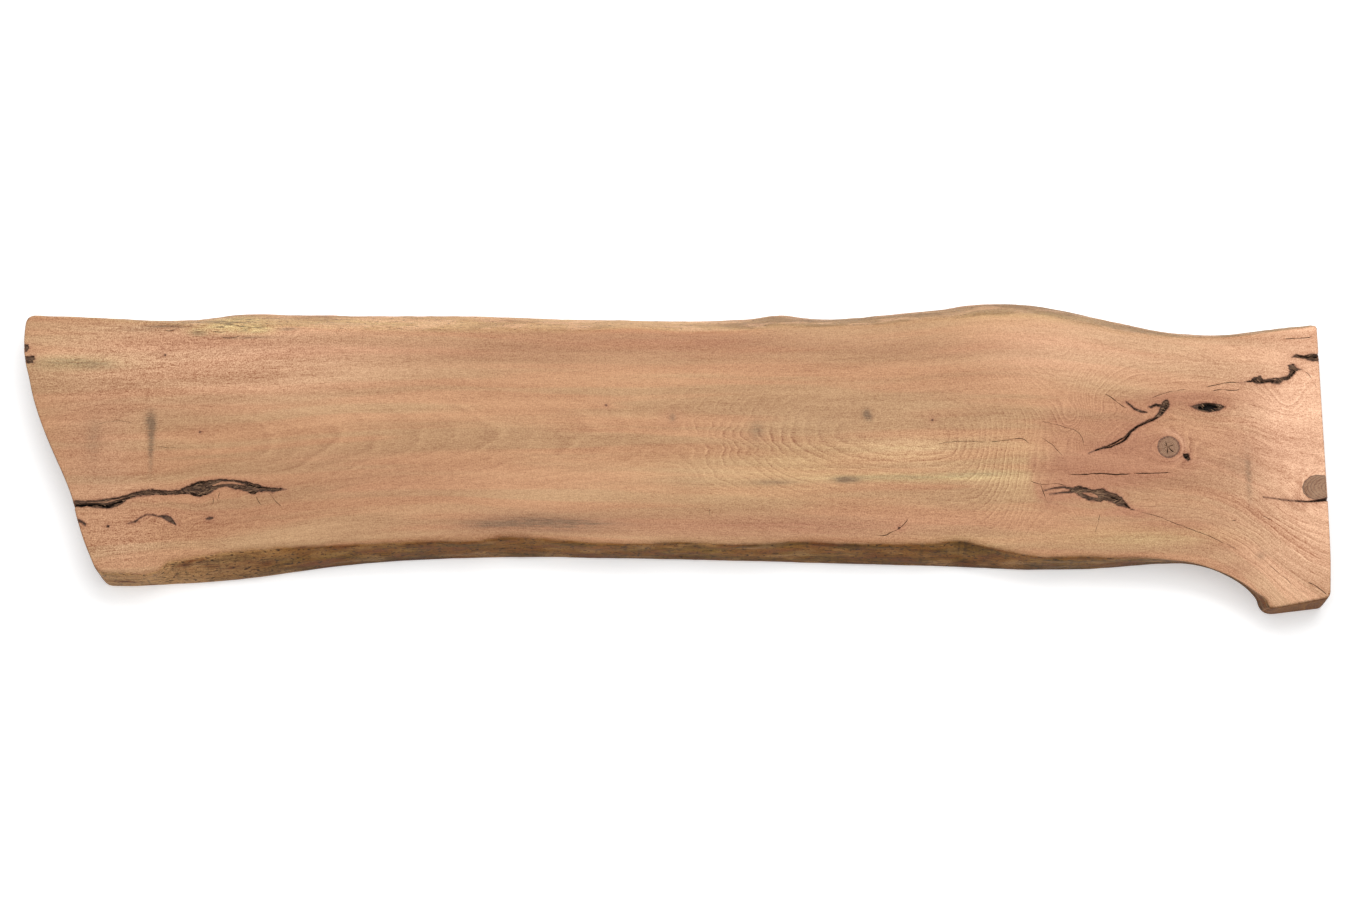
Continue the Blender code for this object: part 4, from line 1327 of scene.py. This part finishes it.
bed_ok = (bark > BED_BARK) & (sunk > BED_DEPTH) & (painted_depth_shade < BED_DARKEST)
bed_near = np.flatnonzero(bed_ok)
bed_ok[bed_near] = clear_of_outline(x[bed_near], y[bed_near], top_outline, BED_MARGIN)
bed_faces = [face for face in faces[: len(top_faces)] if all(bed_ok[i] for i in face)]
bed_used = np.unique(np.array(bed_faces))
bed_number = {int(old): new for new, old in enumerate(bed_used)}
bed_x, bed_y = x[bed_used], y[bed_used]
slope_along = (grain_across(bed_x + 1.0, bed_y) - grain_across(bed_x - 1.0, bed_y)) / 2
slope_across = (grain_across(bed_x, bed_y + 1.0) - grain_across(bed_x, bed_y - 1.0)) / 2

bed_mesh = bpy.data.meshes.new("bark_bed")
bed_places = (points[bed_used] * MM).tolist()
bed_mesh.from_pydata(bed_places, [], [[bed_number[int(i)] for i in face] for face in bed_faces])
bed_mesh.update()
store(bed_mesh, "fibre_angle", np.arctan2(-slope_along, np.maximum(slope_across, 0.3)))
bed = bpy.data.objects.new("bark_fibres", bed_mesh)
bpy.context.scene.collection.objects.link(bed)
print("bed faces:", len(bed_mesh.polygons))

# %% [markdown]
# One sliver is a short line, thickest in its middle, turned into a bent rod with five sides. Its length,
# width and lean are picked at random for each point from one fixed seed, and so is its tone, which the
# material reads.

# %% Node tree for the fibres
SLIVER_SIDES = 5
SLIVER_STOPS = 5
SMALLEST_FIBRE = (0.004, 0.0008, 0.0005)
LARGEST_FIBRE = (0.012, 0.0021, 0.0011)
FIBRE_TILT = 0.12
FIBRE_ASKEW = 0.45

bark_nodes = bpy.data.node_groups.new("bark_fibres", "GeometryNodeTree")
bark_nodes.interface.new_socket("Bed", in_out="INPUT", socket_type="NodeSocketGeometry")
for name, kind in (("Fibres per square metre", "Float"), ("Seed", "Int"), ("Material", "Material")):
    bark_nodes.interface.new_socket(name, in_out="INPUT", socket_type="NodeSocket" + kind)
bark_nodes.interface.new_socket("Fibres", in_out="OUTPUT", socket_type="NodeSocketGeometry")
lay = Wire(bark_nodes)
group_in = bark_nodes.nodes.new("NodeGroupInput")
given = {socket.name: Wire(bark_nodes, socket) for socket in group_in.outputs if socket.name}


def random_value(kind, low, high, seed_shift):
    """A random float or vector for each point, from the group's seed."""
    first = {"FLOAT": 2, "FLOAT_VECTOR": 0}[kind]
    output = {"FLOAT": 1, "FLOAT_VECTOR": 0}[kind]
    inputs = {first: low, first + 1: high, "Seed": given["Seed"] + seed_shift}
    return lay.node("FunctionNodeRandomValue", {"data_type": kind}, inputs, output)


sliver_line = lay.node("GeometryNodeCurvePrimitiveLine", {}, {"Start": (-0.5, 0, 0), "End": (0.5, 0, 0)})
sliver_line = lay.node("GeometryNodeResampleCurve", {}, {"Curve": sliver_line, "Count": SLIVER_STOPS})
how_far = lay.node("GeometryNodeSplineParameter", {}, {}, "Factor")
belly = how_far * (1 - how_far) * 3.6 + 0.1
sliver_line = lay.node("GeometryNodeSetCurveRadius", {}, {"Curve": sliver_line, "Radius": belly})
bend = lay.node("ShaderNodeCombineXYZ", {}, {1: belly * 0.6, 2: belly * 0.4})
sliver_line = lay.node("GeometryNodeSetPosition", {}, {"Geometry": sliver_line, "Offset": bend})
sliver_profile = lay.node("GeometryNodeCurvePrimitiveCircle", {}, {"Resolution": SLIVER_SIDES, "Radius": 0.5})
curve_inputs = {"Curve": sliver_line, "Profile Curve": sliver_profile, "Fill Caps": True}
sliver = lay.node("GeometryNodeCurveToMesh", {}, curve_inputs)

spread_inputs = {"Mesh": given["Bed"], "Density": given["Fibres per square metre"], "Seed": given["Seed"]}
spots = lay.node("GeometryNodeDistributePointsOnFaces", {"distribute_method": "RANDOM"}, spread_inputs)
angle = lay.node("GeometryNodeInputNamedAttribute", {"data_type": "FLOAT"}, {"Name": "fibre_angle"})
tilt = random_value("FLOAT", -FIBRE_TILT, FIBRE_TILT, 1)
askew = random_value("FLOAT", -FIBRE_ASKEW, FIBRE_ASKEW, 2)
turn = lay.node("ShaderNodeCombineXYZ", {}, {1: tilt, 2: angle + askew})
size = random_value("FLOAT_VECTOR", SMALLEST_FIBRE, LARGEST_FIBRE, 3)
placing = {"Points": spots, "Instance": sliver, "Rotation": turn, "Scale": size}
fibres = lay.node("GeometryNodeInstanceOnPoints", {}, placing)
tone_inputs = {"Geometry": fibres, "Name": "fibre_tone", "Value": random_value("FLOAT", 0.0, 1.0, 4)}
tone_kind = {"data_type": "FLOAT", "domain": "INSTANCE"}
fibres = lay.node("GeometryNodeStoreNamedAttribute", tone_kind, tone_inputs)
fibres = lay.node("GeometryNodeRealizeInstances", {}, {"Geometry": fibres})
fibres = lay.node("GeometryNodeSetMaterial", {}, {"Geometry": fibres, "Material": given["Material"]})
group_out = bark_nodes.nodes.new("NodeGroupOutput")
bark_nodes.links.new(fibres.socket, group_out.inputs["Fibres"])
print("nodes that lay the fibres:", len(bark_nodes.nodes))

# %% [markdown]
# Each fibre has one tone, from the near-black of wet bark to the grey-brown of dry bark. The same three bark
# colours serve as on the floor of the pockets, so that the fibres belong to it.

# %% Material of the fibres
fibre_paint = bpy.data.materials.new("bark_fibre")
fibre_paint.use_nodes = True
fibre_shader = fibre_paint.node_tree.nodes["Principled BSDF"]
paint = Wire(fibre_paint.node_tree)
tone = paint.node("ShaderNodeAttribute", {"attribute_name": "fibre_tone"}, {}, "Fac")
fibre_colour = mixed(BARK_DARK, BARK_MID, tone.step(0.0, 0.6))
fibre_colour = mixed(fibre_colour, BARK_LIGHT, tone.step(0.55, 1.0))
fibre_paint.node_tree.links.new(fibre_colour.socket, fibre_shader.inputs["Base Color"])
fibre_shader.inputs["Roughness"].default_value = 0.9
fibre_shader.inputs["Specular IOR Level"].default_value = 0.2
print("nodes in the fibres' material:", len(fibre_paint.node_tree.nodes))

# %% [markdown]
# The tree runs once, on the bed, and its result becomes the piece's own mesh. The modifier goes, because a
# piece has to be a plain mesh before it joins the frame.

# %% Lay the fibres
FIBRE_DENSITY = 60000.0
FIBRE_SEED = 7

modifier = bed.modifiers.new("lay_fibres", "NODES")
modifier.node_group = bark_nodes
chosen = {"Fibres per square metre": FIBRE_DENSITY, "Seed": FIBRE_SEED, "Material": fibre_paint}
for item in bark_nodes.interface.items_tree:
    if item.item_type == "SOCKET" and item.name in chosen:
        modifier[item.identifier] = chosen[item.name]
laid = bpy.data.meshes.new_from_object(bed.evaluated_get(bpy.context.evaluated_depsgraph_get()))
bed.modifiers.remove(modifier)
bed.data = laid
laid.shade_smooth()
faces_per_fibre = SLIVER_SIDES * (SLIVER_STOPS - 1) + 2
print("fibres:", len(laid.polygons) // faces_per_fibre, "faces:", len(laid.polygons))
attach(bed, "root")
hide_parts("tabletop_slab")

# %% [markdown]
# ## Floor and light
# A plain pale floor and soft light from above. The main light hangs behind and to the right of the slab, so
# the rear edge is lit, the front edge falls away into shade and the square end is the brighter one. The
# floor lies a hair below the slab, because two faces in one plane flicker, and it's clear from below, to
# show the underside.

# %% Floor
FLOOR_REACH = 9.0
FLOOR_DROP = 0.0004
FLOOR_PALE = (0.93, 0.93, 0.93, 1.0)
WHITE = (1.0, 1.0, 1.0, 1.0)
FLOOR_GLOW = 0.36
CORNER_SIGNS = ((-1, -1), (1, -1), (1, 1), (-1, 1))

floor_mesh = bpy.data.meshes.new("floor")
floor_corners = [(a * FLOOR_REACH, b * FLOOR_REACH, -FLOOR_DROP) for a, b in CORNER_SIGNS]
floor_mesh.from_pydata(floor_corners, [], [(0, 1, 2, 3)])
floor = bpy.data.objects.new("floor", floor_mesh)
bpy.context.scene.collection.objects.link(floor)
floor_paint = bpy.data.materials.new("pale_floor")
floor_paint.use_nodes = True
floor_shader = floor_paint.node_tree.nodes["Principled BSDF"]
floor_shader.inputs["Base Color"].default_value = FLOOR_PALE
floor_shader.inputs["Roughness"].default_value = 0.9
floor_shader.inputs["Specular IOR Level"].default_value = 0.0
floor_shader.inputs["Emission Color"].default_value = WHITE
floor_shader.inputs["Emission Strength"].default_value = FLOOR_GLOW
floor_tree = Wire(floor_paint.node_tree)
from_below = floor_tree.node("ShaderNodeNewGeometry", {}, {}, "Backfacing")
lit_floor = Wire(floor_tree.tree, floor_shader.outputs[0])
clear_floor = floor_tree.node("ShaderNodeBsdfTransparent")
one_sided = floor_tree.node("ShaderNodeMixShader", {}, {0: from_below, 1: lit_floor, 2: clear_floor})
floor_output = floor_paint.node_tree.nodes["Material Output"]
floor_paint.node_tree.links.new(one_sided.socket, floor_output.inputs["Surface"])
floor_mesh.materials.append(floor_paint)
print("floor, m:", 2 * FLOOR_REACH, "square")

# %% Lights
MAIN_POWER = 86
OVERHEAD_POWER = 56
ROOM_STRENGTH = 0.34


def soft_light(name, location, size, power):
    """A wide lamp that faces the middle of the slab's underside, the origin."""
    lamp = bpy.data.lights.new(name, "AREA")
    lamp.shape = "RECTANGLE"
    lamp.size, lamp.size_y = size
    lamp.energy = power
    light = bpy.data.objects.new(name, lamp)
    light.location = location
    light.rotation_euler = Vector(location).to_track_quat("Z", "Y").to_euler()
    bpy.context.scene.collection.objects.link(light)


soft_light("main_light", (0.5, 2.0, 3.0), (4.6, 1.6), MAIN_POWER)
soft_light("overhead_light", (0.0, 0.2, 3.8), (5.2, 2.6), OVERHEAD_POWER)
world = bpy.data.worlds.new("studio")
world.use_nodes = True
world.node_tree.nodes["Background"].inputs["Color"].default_value = WHITE
world.node_tree.nodes["Background"].inputs["Strength"].default_value = ROOM_STRENGTH
bpy.context.scene.world = world
bpy.context.scene.view_settings.view_transform = "Standard"
print("lights:", len(bpy.data.lights), "and the room at", ROOM_STRENGTH)
